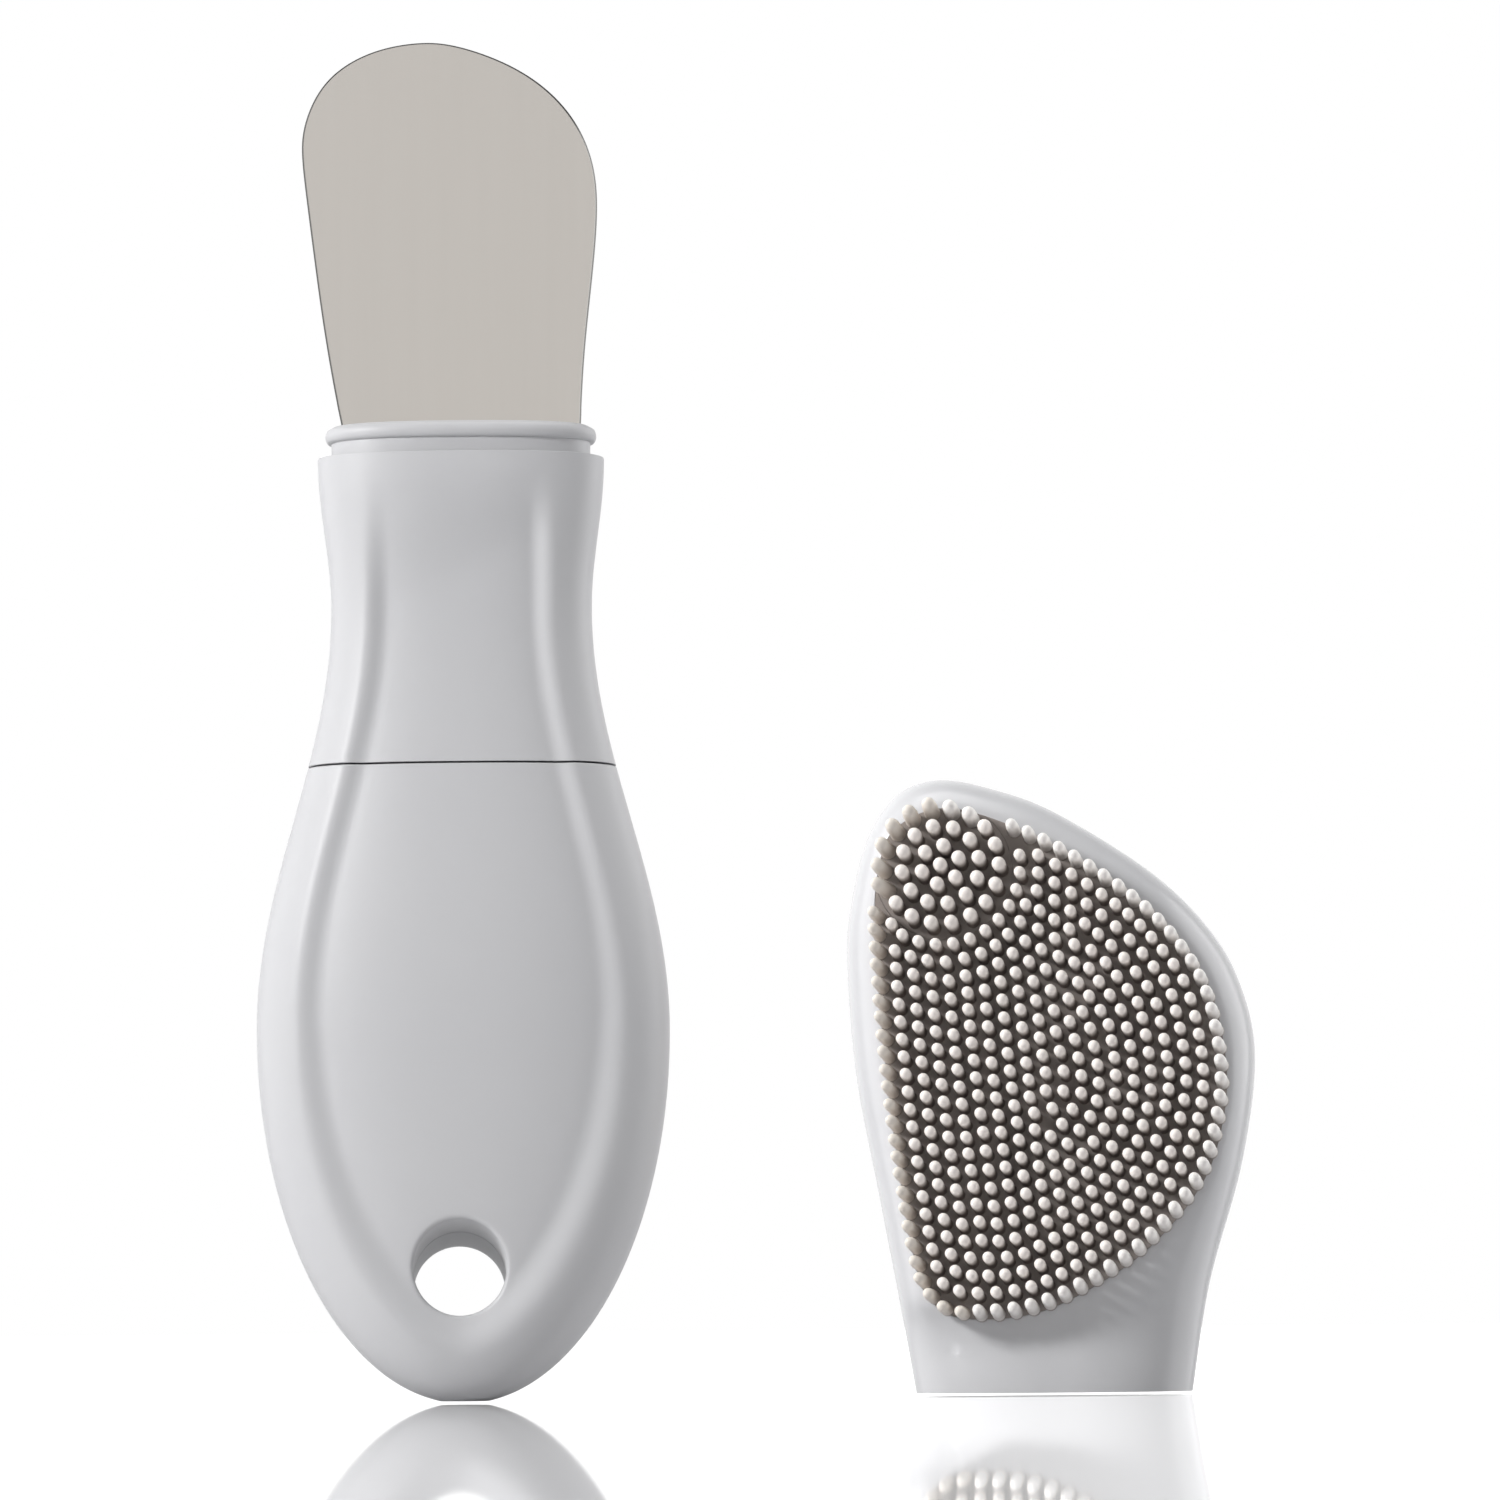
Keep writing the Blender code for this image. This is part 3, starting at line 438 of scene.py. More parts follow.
def panelInside(x, z):  # distance inside the panel's outline, less than 0 outside it
    wide, high = handle["panelWidth"] / 2, handle["panelWidestAt"] - handle["panelBottom"]
    across, power = np.hypot(x, handle["panelBlunt"]) / wide, handle["panelRound"]
    down = np.maximum(handle["panelWidestAt"] - z, 0) / high
    slope = np.hypot(power * across ** (power - 1) / wide, 2 * down / high)
    lower = (1 - across**power - down**2) / np.maximum(slope, 1e-6)
    rise = (z - handle["panelWidestAt"]) / (handle["narrowestAt"] - handle["panelWidestAt"])
    upper = swell(rise, wide, handle["panelNeckWidth"] / 2) - np.abs(x)
    return np.where(z < handle["panelWidestAt"], lower, upper)


def panelSink(x, z):
    ramp = swell(z / handle["waist"], *handle["panelRamp"])
    inside = panelInside(x, z) / ramp + 0.5
    length = swell(x / handle["panelNeckWidth"] + 0.5, *handle["panelFade"])
    fade = swell((handle["panelTop"] - z) / length, 0, 1)
    return swell(z / handle["waist"], *handle["panelSink"]) * swell(inside, 0, 1) * fade


def skinDepth(x, z):
    share = np.clip(np.abs(x) / halfWidth(z), 0, 1)
    return halfDepth(z) * (1 - share ** sectionPower(z)) ** (1 / sectionPower(z))


def frontDepth(x, z):
    return skinDepth(x, z) - panelSink(x, z)


# Points of half a section on each level: flank points by angle, then middle points by width
def sectionRows(levels, depthOf, side, flank=16, middle=36, join=0.86):
    z = np.asarray(levels, dtype=float)[:, None]
    power = sectionPower(z)
    start = np.arcsin((seamGap / halfDepth(z)) ** (power / 2))
    last = np.arccos(join ** (power / 2))
    angle = start + (last - start) * (np.arange(flank) / flank)[None, :]
    bend = halfWidth(z) * np.cos(angle) ** (2 / power)
    flat = halfWidth(z) * join * (1 - np.arange(middle) / middle)[None, :]
    half = np.hstack([bend, flat])
    x = np.hstack([half, np.zeros_like(z), -half[:, ::-1]])
    zz = np.broadcast_to(z, x.shape)
    y = side * np.maximum(depthOf(x, zz), seamGap)
    return np.stack([x, y, zz], axis=-1)


def holeMiddle(y):
    return handle["holeHeight"] - y * math.tan(math.radians(handle["holeTilt"]))


def holePoint(turn, y, grow=0.0):
    r = handle["holeWidth"] / 2 + grow
    across = -(y + handle["bodyDepth"] / 2) * math.tan(math.radians(handle["holeTurn"]))
    up = r * math.sin(turn) / math.cos(math.radians(handle["holeTilt"]))
    return across + r * math.cos(turn), holeMiddle(y) + up


def holeRimDepth(turn, depthOf, side):
    y = side * handle["holeGuess"]
    for _ in range(8):  # settles on the surface within a few rounds
        y = side * float(depthOf(*holePoint(turn, y)))
    return y


# Rings from the square opening in the grid to the round hole, its soft rim and its bore
def holeRings(bm, ring, start, centre, depthOf, side):
    soft = handle["holeRound"]
    patchSteps, roundSteps, boreSteps = handle["holeSteps"]
    turns = [math.atan2(p[2] - centre, p[0]) for p in start]
    rims = [holeRimDepth(turn, depthOf, side) for turn in turns]
    edges = []
    for turn, y in zip(turns, rims):
        x, z = holePoint(turn, y, soft)
        edges.append((x, side * float(depthOf(x, z)), z))
    for k in range(1, patchSteps + 1):
        t = k / patchSteps
        row = []
        for p, q in zip(start, edges):
            x, z = p[0] + (q[0] - p[0]) * t, p[2] + (q[2] - p[2]) * t
            row.append((x, side * float(depthOf(x, z)), z))
        ring = growRing(bm, ring, row)
    for k in range(1, roundSteps + 1):
        t = k / roundSteps
        a, b, c = (1 - t) ** 2, 2 * t * (1 - t), t * t
        row = []
        for turn, y, p in zip(turns, rims, edges):
            deep = y - side * soft
            x1, z1 = holePoint(turn, y)
            x2, z2 = holePoint(turn, deep)
            spots = zip(p, (x1, y, z1), (x2, deep, z2))
            row.append([a * first + b * second + c * third for first, second, third in spots])
        ring = growRing(bm, ring, row)
    for k in range(1, boreSteps + 1):
        t = k / boreSteps
        row = []
        for turn, y in zip(turns, rims):
            deep = (y - side * soft) * (1 - t) + side * seamGap * t
            x, z = holePoint(turn, deep)
            row.append((x, deep, z))
        ring = growRing(bm, ring, row)
    return ring


def bodyShell(name, side, depthOf, node):
    lowRows, highRows = handle["bodyRows"]
    top = handle["waist"] - handle["waistGap"] / 2
    low = handle["widestAt"] * (1 - np.cos(np.pi / 2 * np.arange(lowRows + 1) / lowRows))
    rise = (top - handle["widestAt"]) * np.arange(1, highRows + 1) / highRows
    levels = np.concatenate([low, handle["widestAt"] + rise])
    points = sectionRows(levels, depthOf, side)
    rows, columns = points.shape[:2]

    middle = columns // 2
    centre = holeMiddle(side * handle["openingDepth"])
    half = handle["openingHalf"]
    i0 = int(np.argmin(abs(levels - (centre - half))))
    i1 = int(np.argmin(abs(levels - (centre + half))))
    span = int(round(half / (points[(i0 + i1) // 2, middle - 1, 0])))
    j0, j1 = middle - span, middle + span

    bm = bmesh.new()
    verts = [[None] * columns for _ in range(rows)]
    for i in range(rows):
        for j in range(columns):
            if not (i0 < i < i1 and j0 < j < j1):
                verts[i][j] = bm.verts.new(points[i, j])
    for i in range(rows - 1):
        for j in range(columns - 1):
            if not (i0 <= i < i1 and j0 <= j < j1):
                corners = (verts[i][j], verts[i][j + 1], verts[i + 1][j + 1], verts[i + 1][j])
                bm.faces.new(corners)

    square = [(i0, j) for j in range(j0, j1)] + [(i, j1) for i in range(i0, i1)]
    square += [(i1, j) for j in range(j1, j0, -1)] + [(i, j0) for i in range(i1, i0, -1)]
    ring = [verts[i][j] for i, j in square]
    ring = holeRings(bm, ring, [points[i, j] for i, j in square], centre, depthOf, side)

    outline = [row[0] for row in verts] + [row[-1] for row in reversed(verts)]
    bm.faces.new(verts[0])
    bm.faces.new(verts[-1])
    fillLoops(bm, outline, ring)
    piece = finishMesh(bm, name, handleSpot, "handle", [satinPlastic], node)
    addBevel(piece, *handle["bodyEdge"])
    addWeighting(piece)


bodyShell("body_front", -1, frontDepth, "handle_front_shell")
bodyShell("body_back", 1, skinDepth, "handle_back_shell")
print("handle body ready")


def neckPiece():
    low = handle["waist"] + handle["waistGap"] / 2
    levels = np.linspace(low, handle["shoulder"], handle["neckRows"])
    front = sectionRows(levels, frontDepth, -1)
    back = sectionRows(levels, skinDepth, 1)[:, ::-1]
    bm = bmesh.new()
    rows = loft(bm, [list(f) + list(b) for f, b in zip(front, back)], ends=False)
    wall = handle["neckWall"]
    boreHalf = (handle["neckWidth"] / 2 - wall, handle["neckDepth"] / 2 - wall)
    ends = [oval(*boreHalf, z, handle["neckPower"], steps=96) for z in (levels[0], levels[-1])]
    bore = [addRing(bm, end) for end in ends]
    joinRings(bm, bore[0], bore[1])
    fillLoops(bm, rows[0], bore[0])
    fillLoops(bm, rows[-1], bore[1])
    piece = finishMesh(bm, "neck", handleSpot, "handle", [satinPlastic], "neck_sleeve")
    addBevel(piece, *handle["neckEdge"])
    addWeighting(piece)


neckPiece()


# Collar: the groove and the bead that the cap snaps over, above a hidden plug

collar = {
    "base": 93.5,
    "neck": 1.35,  # height of the groove
    "bead": 1.45,  # height of the bead
    "beadPower": 0.8,
    "beadSteps": 12,
    "proud": 0.6,
    "lip": 0.2,
    "grooveEdge": 0.15,
    "topEdge": (0.08, 0.06),  # in from the groove's face, and down from the collar's top
    "halfWidth": 13.5,
    "plugBottom": 49.0,
    "ringSteps": 160,
    "slotWidth": 17.6,
    "slotThick": 1.6,
    "slotDepth": 18.3,
    "rootSlot": (12.3, 0.65, 0.6),  # half width, half thickness and depth for the blade's root
}
collarTop = collar["base"] + collar["neck"] + collar["bead"] + collar["lip"]


def collarPiece():
    narrow = collar["halfWidth"] - collar["proud"]
    beadFoot = collar["base"] + collar["neck"]
    sideEdge, downEdge = collar["topEdge"]
    profile = [(narrow, collar["base"]), (narrow, beadFoot - collar["grooveEdge"])]
    for k in range(collar["beadSteps"] + 1):
        turn = math.pi * k / collar["beadSteps"]
        out = narrow + collar["proud"] * math.sin(turn) ** collar["beadPower"]
        profile.append((out, beadFoot + collar["bead"] * (1 - math.cos(turn)) / 2))
    profile += [(narrow - sideEdge, collarTop - downEdge), (narrow - collar["lip"], collarTop)]

    footTop = handle["waist"] - handle["waistGap"] / 2
    wall = handle["neckWall"] + handle["waistGap"]
    foot = (float(halfWidth(footTop)) - wall, float(halfDepth(footTop)) - wall)
    plug = (handle["neckWidth"] / 2 - wall, handle["neckDepth"] / 2 - wall)
    depthLess = (rimWidth - handle["shoulderDepth"]) / 2
    stations = [(*foot, collar["plugBottom"]), (*foot, footTop)]
    stations += [(*plug, footTop), (*plug, collar["base"])]
    stations += [(wide, wide - depthLess, z) for wide, z in profile]
    bm = bmesh.new()
    loft(bm, [oval(*station, handle["neckPower"], collar["ringSteps"]) for station in stations])
    piece = finishMesh(bm, "collar", handleSpot, "handle", [satinPlastic], "blade_carrier")

    tangSlot = (collar["slotWidth"] / 2, collar["slotThick"] / 2, collar["slotDepth"])
    for name, (wide, deep, down) in (("blade_slot", tangSlot), ("root_slot", collar["rootSlot"])):
        slot = boxShape((-wide, -deep, collarTop - down), (wide, deep, collarTop + 1))
        cutOut(piece, name, slot, handleSpot)
    addWeighting(piece)


collarPiece()
print("neck and collar ready")


# Scraper blade: a flat plate with a ground bevel and a thin rim, both painted dark as shade along
# its edge

blade = {
    "thickness": 1.0,
    "edge": 0.3,  # thickness of the rim
    "bevel": 0.2,  # width of the slope between rim and face
    "darkEdge": 0.13,  # its outer part, which takes the rim's darker painted shade
    "length": 39.1,
    "leftReach": 15.9,
    "rightReach": 13.9,
    "rootWidth": 24.0,
    "rootSunk": 0.5,  # the head starts this far below the collar's top
    "cornerRound": 1.3,
    "cornerShape": [(0.8, 0.0), (0.15, 0.35), (0.0, 1.0)],  # shares of the round, in and up
    "relaxAbove": 3.0,  # the outline is evened out from this height above the root
    "relaxRounds": 60,
    "outlineSteps": 10,
    "tangWidth": 17.0,
    "tangLength": 18.0,
    "sharpAngle": 15,
    "shape": [  # shares of the reach and of the length, from the right over the top to the left
        (0.880, 0.180), (0.953, 0.389), (1.000, 0.572), (0.967, 0.682), (0.867, 0.776),
        (0.684, 0.863), (0.378, 0.943), (-0.037, 0.995), (-0.224, 1.000), (-0.466, 0.989),
        (-0.704, 0.950), (-0.894, 0.882), (-0.990, 0.777), (-1.000, 0.702), (-0.940, 0.519),
        (-0.859, 0.240),
    ],
}


def bladeOutline(root):
    rootHalf, corner = blade["rootWidth"] / 2, blade["cornerRound"]
    shares = blade["cornerShape"]
    points = [(rootHalf - a * corner, root + b * corner) for a, b in shares]
    for across, up in blade["shape"]:
        reach = blade["rightReach"] if across > 0 else blade["leftReach"]
        points.append((across * reach, collarTop + up * blade["length"]))
    points += [(a * corner - rootHalf, root + b * corner) for a, b in reversed(shares)]
    head = smoothCurve(points, blade["outlineSteps"], closed=False)
    free = head[1:-1, 1:] > root + blade["relaxAbove"]
    for _ in range(blade["relaxRounds"]):
        head[1:-1] += np.where(free, (head[:-2] - 2 * head[1:-1] + head[2:]) / 4, 0)
    return head


def bladePiece():
    root = collarTop - blade["rootSunk"]
    head = bladeOutline(root)
    inner = moveInward(head, blade["bevel"], closed=False)
    middle = moveInward(head, blade["darkEdge"], closed=False)
    for curve in (inner, middle):
        curve[0, 1] = curve[-1, 1] = root
    half = blade["tangWidth"] / 2
    foot = collarTop - blade["tangLength"]
    tang = np.array([(-half, root), (-half, foot), (half, foot), (half, root)])

    face, edge = blade["thickness"] / 2, blade["edge"] / 2
    between = edge + (face - edge) * (blade["darkEdge"] / blade["bevel"])
    stations = [(inner, -face), (middle, -between), (head, -edge)]
    stations += [(head, edge), (middle, between), (inner, face)]
    bm = bmesh.new()
    loft(bm, [[(x, y, z) for x, z in np.vstack([curve, tang])] for curve, y in stations])
    bands = len(stations) - 1
    for index, side in enumerate(bm.faces):
        band, spot = divmod(index, len(head) + len(tang))
        # The bevel's inner band takes the bevel's painted shade, its outer band and the rim the
        # rim's darker painted shade
        if band < bands and spot < len(head) - 1:
            side.material_index = 1 if band in (0, bands - 1) else 2
    mats, sharp = [bladeSteel, bevelShadedSteel, rimShadedSteel], blade["sharpAngle"]
    piece = finishMesh(bm, "scraper", handleSpot, "handle", mats, "scraper_blade", sharp)


bladePiece()
print("blade ready")


# Brush cap: two glossy half shells

cap = {
    "depth": 14.2,
    "wall": 1.5,
    "frontWall": 3.0,
    "leastRound": 0.8,
    "roundShare": 1.1,  # more rounding for each mm between the outline and the pad
    "mostRound": 13.0,
    "ovalTo": 2.0,  # the front is oval in section up to here, then it turns flat for the pad
    "ovalFade": 10.0,
    "backRound": 5.0,
    "backRoundFrom": 26.0,  # below this height the back gets rounder
    "backRoundOver": 22.0,
    "rimWall": 0.7,
    "rimLip": 0.2,
    "lipHeight": 1.1,
    "grooveTop": 3.6,
    "boreDepth": 4.5,
    "boreSteps": 120,
    "runOn": 0.3,  # the outline runs on below the rim by this share of its first step
    "outerSteps": (12, 14),  # points for each step of the outline, and rings of the rounding
    "innerSteps": (5, 6),  # the same for the hollow
    "sharpAngle": 30,
    "edge": (0.12, 40, 2),  # bevel width, least angle and segments
    "recessGap": 0.05,  # the pad's recess is wider than its slab by this much
    "shape": [  # shares of the reach and of the height, from the right over the top to the left
        (0.763, 0.176), (0.930, 0.372), (1.000, 0.545), (0.924, 0.669), (0.760, 0.762),
        (0.483, 0.851), (0.038, 0.945), (-0.266, 0.984), (-0.531, 1.000), (-0.740, 0.977),
        (-0.888, 0.908), (-0.967, 0.814), (-0.998, 0.713), (-0.959, 0.519), (-0.853, 0.324),
        (-0.745, 0.128),
    ],
}
pad = {
    "thickness": 1.8,
    "proud": 0.5,
    "inset": 0.5,  # the slab ends this far inside the outline, right at the strands
    "backGap": 0.3,  # room behind the slab
    "margin": 0.95,
    "borderLean": 0.10,  # outward lean of the outermost strands on the left
    "farLean": 0.22,  # more lean for each mm that a border strand stands further in
    "borderShare": 1.45,  # nearer to the outline than this many margins is a border strand
    "borderBody": 1.13,  # the outermost strands are thicker below their tips
    "leftFacing": 0.1,  # a border strand is on the left when its way out points left by more
    "length": 3.2,
    "leanX": -0.17,
    "leanZ": 0.20,
    "fineStrand": (0.56, 0.59),  # radius above the foot and at the tip
    "coarseStrand": (0.68, 0.72),
    "strandSides": 14,
    "strandSunk": 0.3,  # a strand starts this deep in the slab
    "strandFoot": (1.12, 0.25),  # its foot is wider by this factor and this high
    "bodyAt": 0.7,  # it has its middle thickness at this share of the way to its dome
    "domeSteps": 6,
    "finePitch": 1.77,
    "fineStep": 1.80,
    "leastApart": 0.8,  # strands of the fine rows are at least this many pitches apart
    "coarsePitch": 2.00,
    "coarseRings": 3,
    "coarseTwist": 0.35,  # turn from one ring to the next, in radians
    "leastRim": 0.74,  # a free stretch of the border beside the coarse zone gets more strands
    "zoneStep": 2.19,
    "zoneGap": 0.02,
    "leastHole": 0.8,  # a spot this many pitches from every strand gets one
    "searchStep": 0.4,
    "evenReach": 1.22,
    "evenRounds": 30,
    "evenStep": 0.12,
    "lineFineness": 8,  # points for each strand on the lines that the rows follow
    "slack": (0.985, 200),  # a row may come nearer by this share and a step over this number
    "coarseCentre": (-0.528, 0.843),
    "shape": [  # shares as for the cap, anticlockwise from the lower left
        (-0.460, 0.113), (-0.145, 0.117), (0.137, 0.153), (0.468, 0.227), (0.728, 0.330),
        (0.836, 0.433), (0.855, 0.535), (0.767, 0.663), (0.539, 0.769), (0.199, 0.857),
        (-0.174, 0.922), (-0.524, 0.953), (-0.779, 0.917), (-0.870, 0.845), (-0.886, 0.727),
        (-0.828, 0.476), (-0.716, 0.219), (-0.624, 0.142),
    ],
}
capFront = cap["depth"] / 2
padFace = capFront + pad["proud"]
padBack = padFace - pad["thickness"]


def capPoint(across, up):
    reach = capReach["right"] if across > 0 else capReach["left"]
    return across * reach, up * capReach["height"]


def capCurve(steps):
    rim = rimWidth / 2
    points = [(rim, 0.0), *(capPoint(*share) for share in cap["shape"]), (-rim, 0.0)]
    right, left = points[1], points[-2]
    start = (rim - cap["runOn"] * (right[0] - rim), -cap["runOn"] * right[1])
    end = (-rim - cap["runOn"] * (left[0] + rim), -cap["runOn"] * left[1])
    return smoothCurve([start, *points, end], steps, closed=False)


def padCurve(steps):
    return smoothCurve([capPoint(*share) for share in pad["shape"]], steps, closed=True)


def frontRound(curve):
    border = nearest(curve, padCurve(8))
    beside = np.minimum(cap["leastRound"] + cap["roundShare"] * border, cap["mostRound"])
    below = swell((curve[:, 1] - cap["ovalTo"]) / cap["ovalFade"], cap["mostRound"], 0)
    return np.maximum(beside, below)


def backRound(curve):
    share = (cap["backRoundFrom"] - curve[:, 1]) / cap["backRoundOver"]
    return swell(share, cap["backRound"], cap["mostRound"])


# Rings from the first depths to the full depth, with a rounding that varies along the outline
def capRings(curve, rounding, inset, depth, side, first, steps):
    inner = np.maximum(rounding - inset, cap["leastRound"] / 2)
    base = moveInward(curve, inset, closed=False)
    rings = [[(x, side * y, z) for x, z in base] for y in first[:-1]]
    for k in range(steps + 1):
        turn = math.pi / 2 * k / steps
        ring = moveInward(curve, inset + inner * (1 - math.cos(turn)), closed=False)
        y = first[-1] + (depth - first[-1]) * math.sin(turn)
        rings.append([(x, side * y, z) for x, z in ring])
    return rings


def mouthBore():
    lip, groove, deep = cap["rimLip"], rimWidth / 2 - cap["rimWall"], capFront - cap["rimWall"]
    stations = [(lip, -1.0), (lip, cap["lipHeight"]), (0, cap["lipHeight"]), (0, cap["grooveTop"])]
    stations += [(lip, cap["grooveTop"] + lip), (lip, cap["boreDepth"])]
    sizes = [(groove - less, deep - less, z) for less, z in stations]
    bm = bmesh.new()
    loft(bm, [oval(*size, handle["neckPower"], cap["boreSteps"]) for size in sizes])
    return bm


def capShell(name, side, node):
    outerPoints, outerRings = cap["outerSteps"]
    innerPoints, innerRings = cap["innerSteps"]
    outer, inner = capCurve(outerPoints), capCurve(innerPoints)
    rounding, wall = (frontRound, cap["frontWall"]) if side < 0 else (backRound, cap["wall"])
    bm = bmesh.new()
    loft(bm, capRings(outer, rounding(outer), 0.0, capFront, side, [seamGap], outerRings))
    piece = finishMesh(bm, name, capSpot, "cap", [glossPlastic], node)

    hollow = bmesh.new()
    first, inset = [-1.0, 0.0], cap["wall"]
    loft(hollow, capRings(inner, rounding(inner), inset, capFront - wall, side, first, innerRings))
    cutOut(piece, "hollow", hollow, capSpot)
    cutOut(piece, "mouth", mouthBore(), capSpot)
    wide, deep, down = capReach["left"] * 1.5, 20, 30  # more than the whole outline below the rim
    cutOut(piece, "below", boxShape((-wide, -deep, -down), (wide, deep, 0)), capSpot)
    if side < 0:
        outline = moveInward(padCurve(12), pad["inset"] - cap["recessGap"])
        recess = plateShape(outline, -padFace - 1, -padBack + pad["backGap"])
        cutOut(piece, "recess", recess, capSpot)
    shadeRound(piece, cap["sharpAngle"])
    addBevel(piece, *cap["edge"])
    addWeighting(piece)


capShell("cap_front", -1, "cap_front_shell")
capShell("cap_back", 1, "cap_back_shell")
print("cap shells ready")


# Silicone pad: a slab for each zone, and the strands on it with round tips

siliconeFinishAndShade = {
    "strands": {  # colours at the tip and at the foot, in the field and at its border; the dark foot is painted shade between the strands, the border copies have less of it at the foot, and the left copy also has a painted shade on its tip
        "silicone": ((0.93, 0.875, 0.83), (0.185, 0.155, 0.14)),
        "silicone_left": ((0.78, 0.725, 0.66), (0.66, 0.60, 0.54)),
        "silicone_right": ((0.90, 0.87, 0.84), (0.62, 0.59, 0.565)),
    },
    "slab": (0.31, 0.275, 0.255),
    "fade": (1.0, 2.8),  # heights above the slab over which a strand's painted shade gives way to its tip colour
    "slabFade": (0.02, 0.15),  # heights between which the slab's colour ends
    "grainScale": 3000,
    "roughness": (0.42, 0.58),
    "bump": 0.08,
    "bumpDepth": 0.00003,
    "ior": 1.42,
}


def siliconeMaterial(name):
    mat, tree, shader = newMaterial(name)
    tip, foot = siliconeFinishAndShade["strands"][name]
    forward = splitAxes(tree, localPlace(tree))["Y"]
    fade = [-(padFace + up) * mm for up in siliconeFinishAndShade["fade"]]
    slabFade = [-(padFace + up) * mm for up in siliconeFinishAndShade["slabFade"]]
    # Dark near the slab and light at the tip: painted shade down between the strands
    lower = twoColours(tree, toRange(tree, forward, 0, 1, *slabFade), siliconeFinishAndShade["slab"], foot)
    colour = twoColours(tree, toRange(tree, forward, 0, 1, *fade), lower, tip)
    tree.links.new(colour, shader.inputs["Base Color"])
    fine = grain(tree, siliconeFinishAndShade["grainScale"], detail=3)
    tree.links.new(toRange(tree, fine, *siliconeFinishAndShade["roughness"]), shader.inputs["Roughness"])
    addBump(tree, shader, fine, siliconeFinishAndShade["bump"], siliconeFinishAndShade["bumpDepth"])
    shader.inputs["IOR"].default_value = siliconeFinishAndShade["ior"]
    return mat


silicones = [siliconeMaterial(name) for name in siliconeFinishAndShade["strands"]]
coarseCentre = np.array(capPoint(*pad["coarseCentre"]))
coarseRadius = pad["coarseRings"] * pad["coarsePitch"]


def resample(loop, step):
    closed = np.vstack([loop, loop[:1]])
    lengths = np.concatenate([[0.0], np.cumsum(np.linalg.norm(np.diff(closed, axis=0), axis=1))])
    count = int(round(lengths[-1] / step))
    if count < 3:
        return np.array([loop.mean(axis=0)])
    wanted = lengths[-1] * np.arange(count) / count
    return np.column_stack([np.interp(wanted, lengths, closed[:, i]) for i in (0, 1)])


# The pad's border without its stretch at the coarse zone, closed by an arc around that zone
def fineBoundary():
    outer = moveInward(padCurve(24), pad["margin"])
    radius = coarseRadius + pad["zoneStep"]
    away = np.linalg.norm(outer - coarseCentre, axis=1) >= radius
    first = int(np.flatnonzero(away & ~np.roll(away, 1))[0])
    outer, away = np.roll(outer, -first, axis=0), np.roll(away, -first)
    outer = outer[away]
    start = math.atan2(*(outer[-1] - coarseCentre)[::-1])
    end = math.atan2(*(outer[0] - coarseCentre)[::-1])
    if end > start:
        end -= 2 * math.pi
    turns = np.linspace(start, end, 90)[1:-1]
    arc = coarseCentre + radius * np.column_stack([np.cos(turns), np.sin(turns)])
    return resample(np.vstack([outer, arc]), pad["fineStep"] / pad["lineFineness"])


def innerLoops(boundary, distance):
    share, part = pad["slack"]
    moved = moveInward(boundary, distance)
    kept = moved[nearest(moved, boundary) > distance * share - pad["fineStep"] / part]
    if len(kept) < 3:
        return []
    jumps = np.linalg.norm(np.roll(kept, -1, axis=0) - kept, axis=1) > pad["finePitch"]
    if not jumps.any():
        return [kept]
    cuts = np.flatnonzero(jumps) + 1
    kept = np.roll(kept, -cuts[0], axis=0)
    runs = np.split(kept, cuts[1:] - cuts[0])
    loops = []
    while runs:
        loop = runs.pop(0)
        while runs:
            gaps = [np.linalg.norm(run[0] - loop[-1]) for run in runs]
            best = int(np.argmin(gaps))
            if gaps[best] > np.linalg.norm(loop[0] - loop[-1]):
                break
            loop = np.vstack([loop, runs.pop(best)])
        loops.append(loop)
    return loops


def ringPlaces(boundary):
    apart = pad["leastApart"] * pad["finePitch"]
    places = np.empty((0, 2))
    loops, ring = [boundary], 0
    while loops:
        for loop in loops:
            for point in resample(loop, pad["fineStep"]):
                if not len(places) or np.linalg.norm(places - point, axis=1).min() > apart:
                    places = np.vstack([places, point])
        ring += 1
        loops = innerLoops(boundary, ring * pad["finePitch"])
    return places


def pointsInside(points, loop):
    x, z = points[:, :1], points[:, 1:]
    (x1, z1), (x2, z2) = loop.T, np.roll(loop, -1, axis=0).T
    crossed = (z1 > z) != (z2 > z)
    climb = np.where(z2 == z1, 1.0, z2 - z1)
    return (crossed & (x < x1 + (x2 - x1) * (z - z1) / climb)).sum(axis=1) % 2 == 1


def fillHoles(places, boundary):
    low, high = boundary.min(axis=0), boundary.max(axis=0)
    x, z = np.meshgrid(*(np.arange(low[i], high[i], pad["searchStep"]) for i in (0, 1)))
    spots = np.column_stack([x.ravel(), z.ravel()])
    spots = spots[pointsInside(spots, boundary)]
    free = nearest(spots, places)
    while free.max() > pad["leastHole"] * pad["finePitch"]:
        spot = spots[int(np.argmax(free))]
        places = np.vstack([places, spot])
        free = np.minimum(free, np.linalg.norm(spots - spot, axis=1))
    return places


# Crowded strands push each other apart, the first ones stay still
def evenOut(places, still, others):
    reach = pad["evenReach"] * pad["finePitch"]
    for _ in range(pad["evenRounds"]):
        apart = places[:, None, :] - np.vstack([places, others])[None, :, :]
        length = np.linalg.norm(apart, axis=2)
        close = (length > 0) & (length < reach)
        push = np.where(close, (reach - length) / np.where(length > 0, length, 1.0), 0.0)
        moved = pad["evenStep"] * (push[:, :, None] * apart).sum(axis=1)
        moved[:still] = 0.0
        places = places + moved
    return places


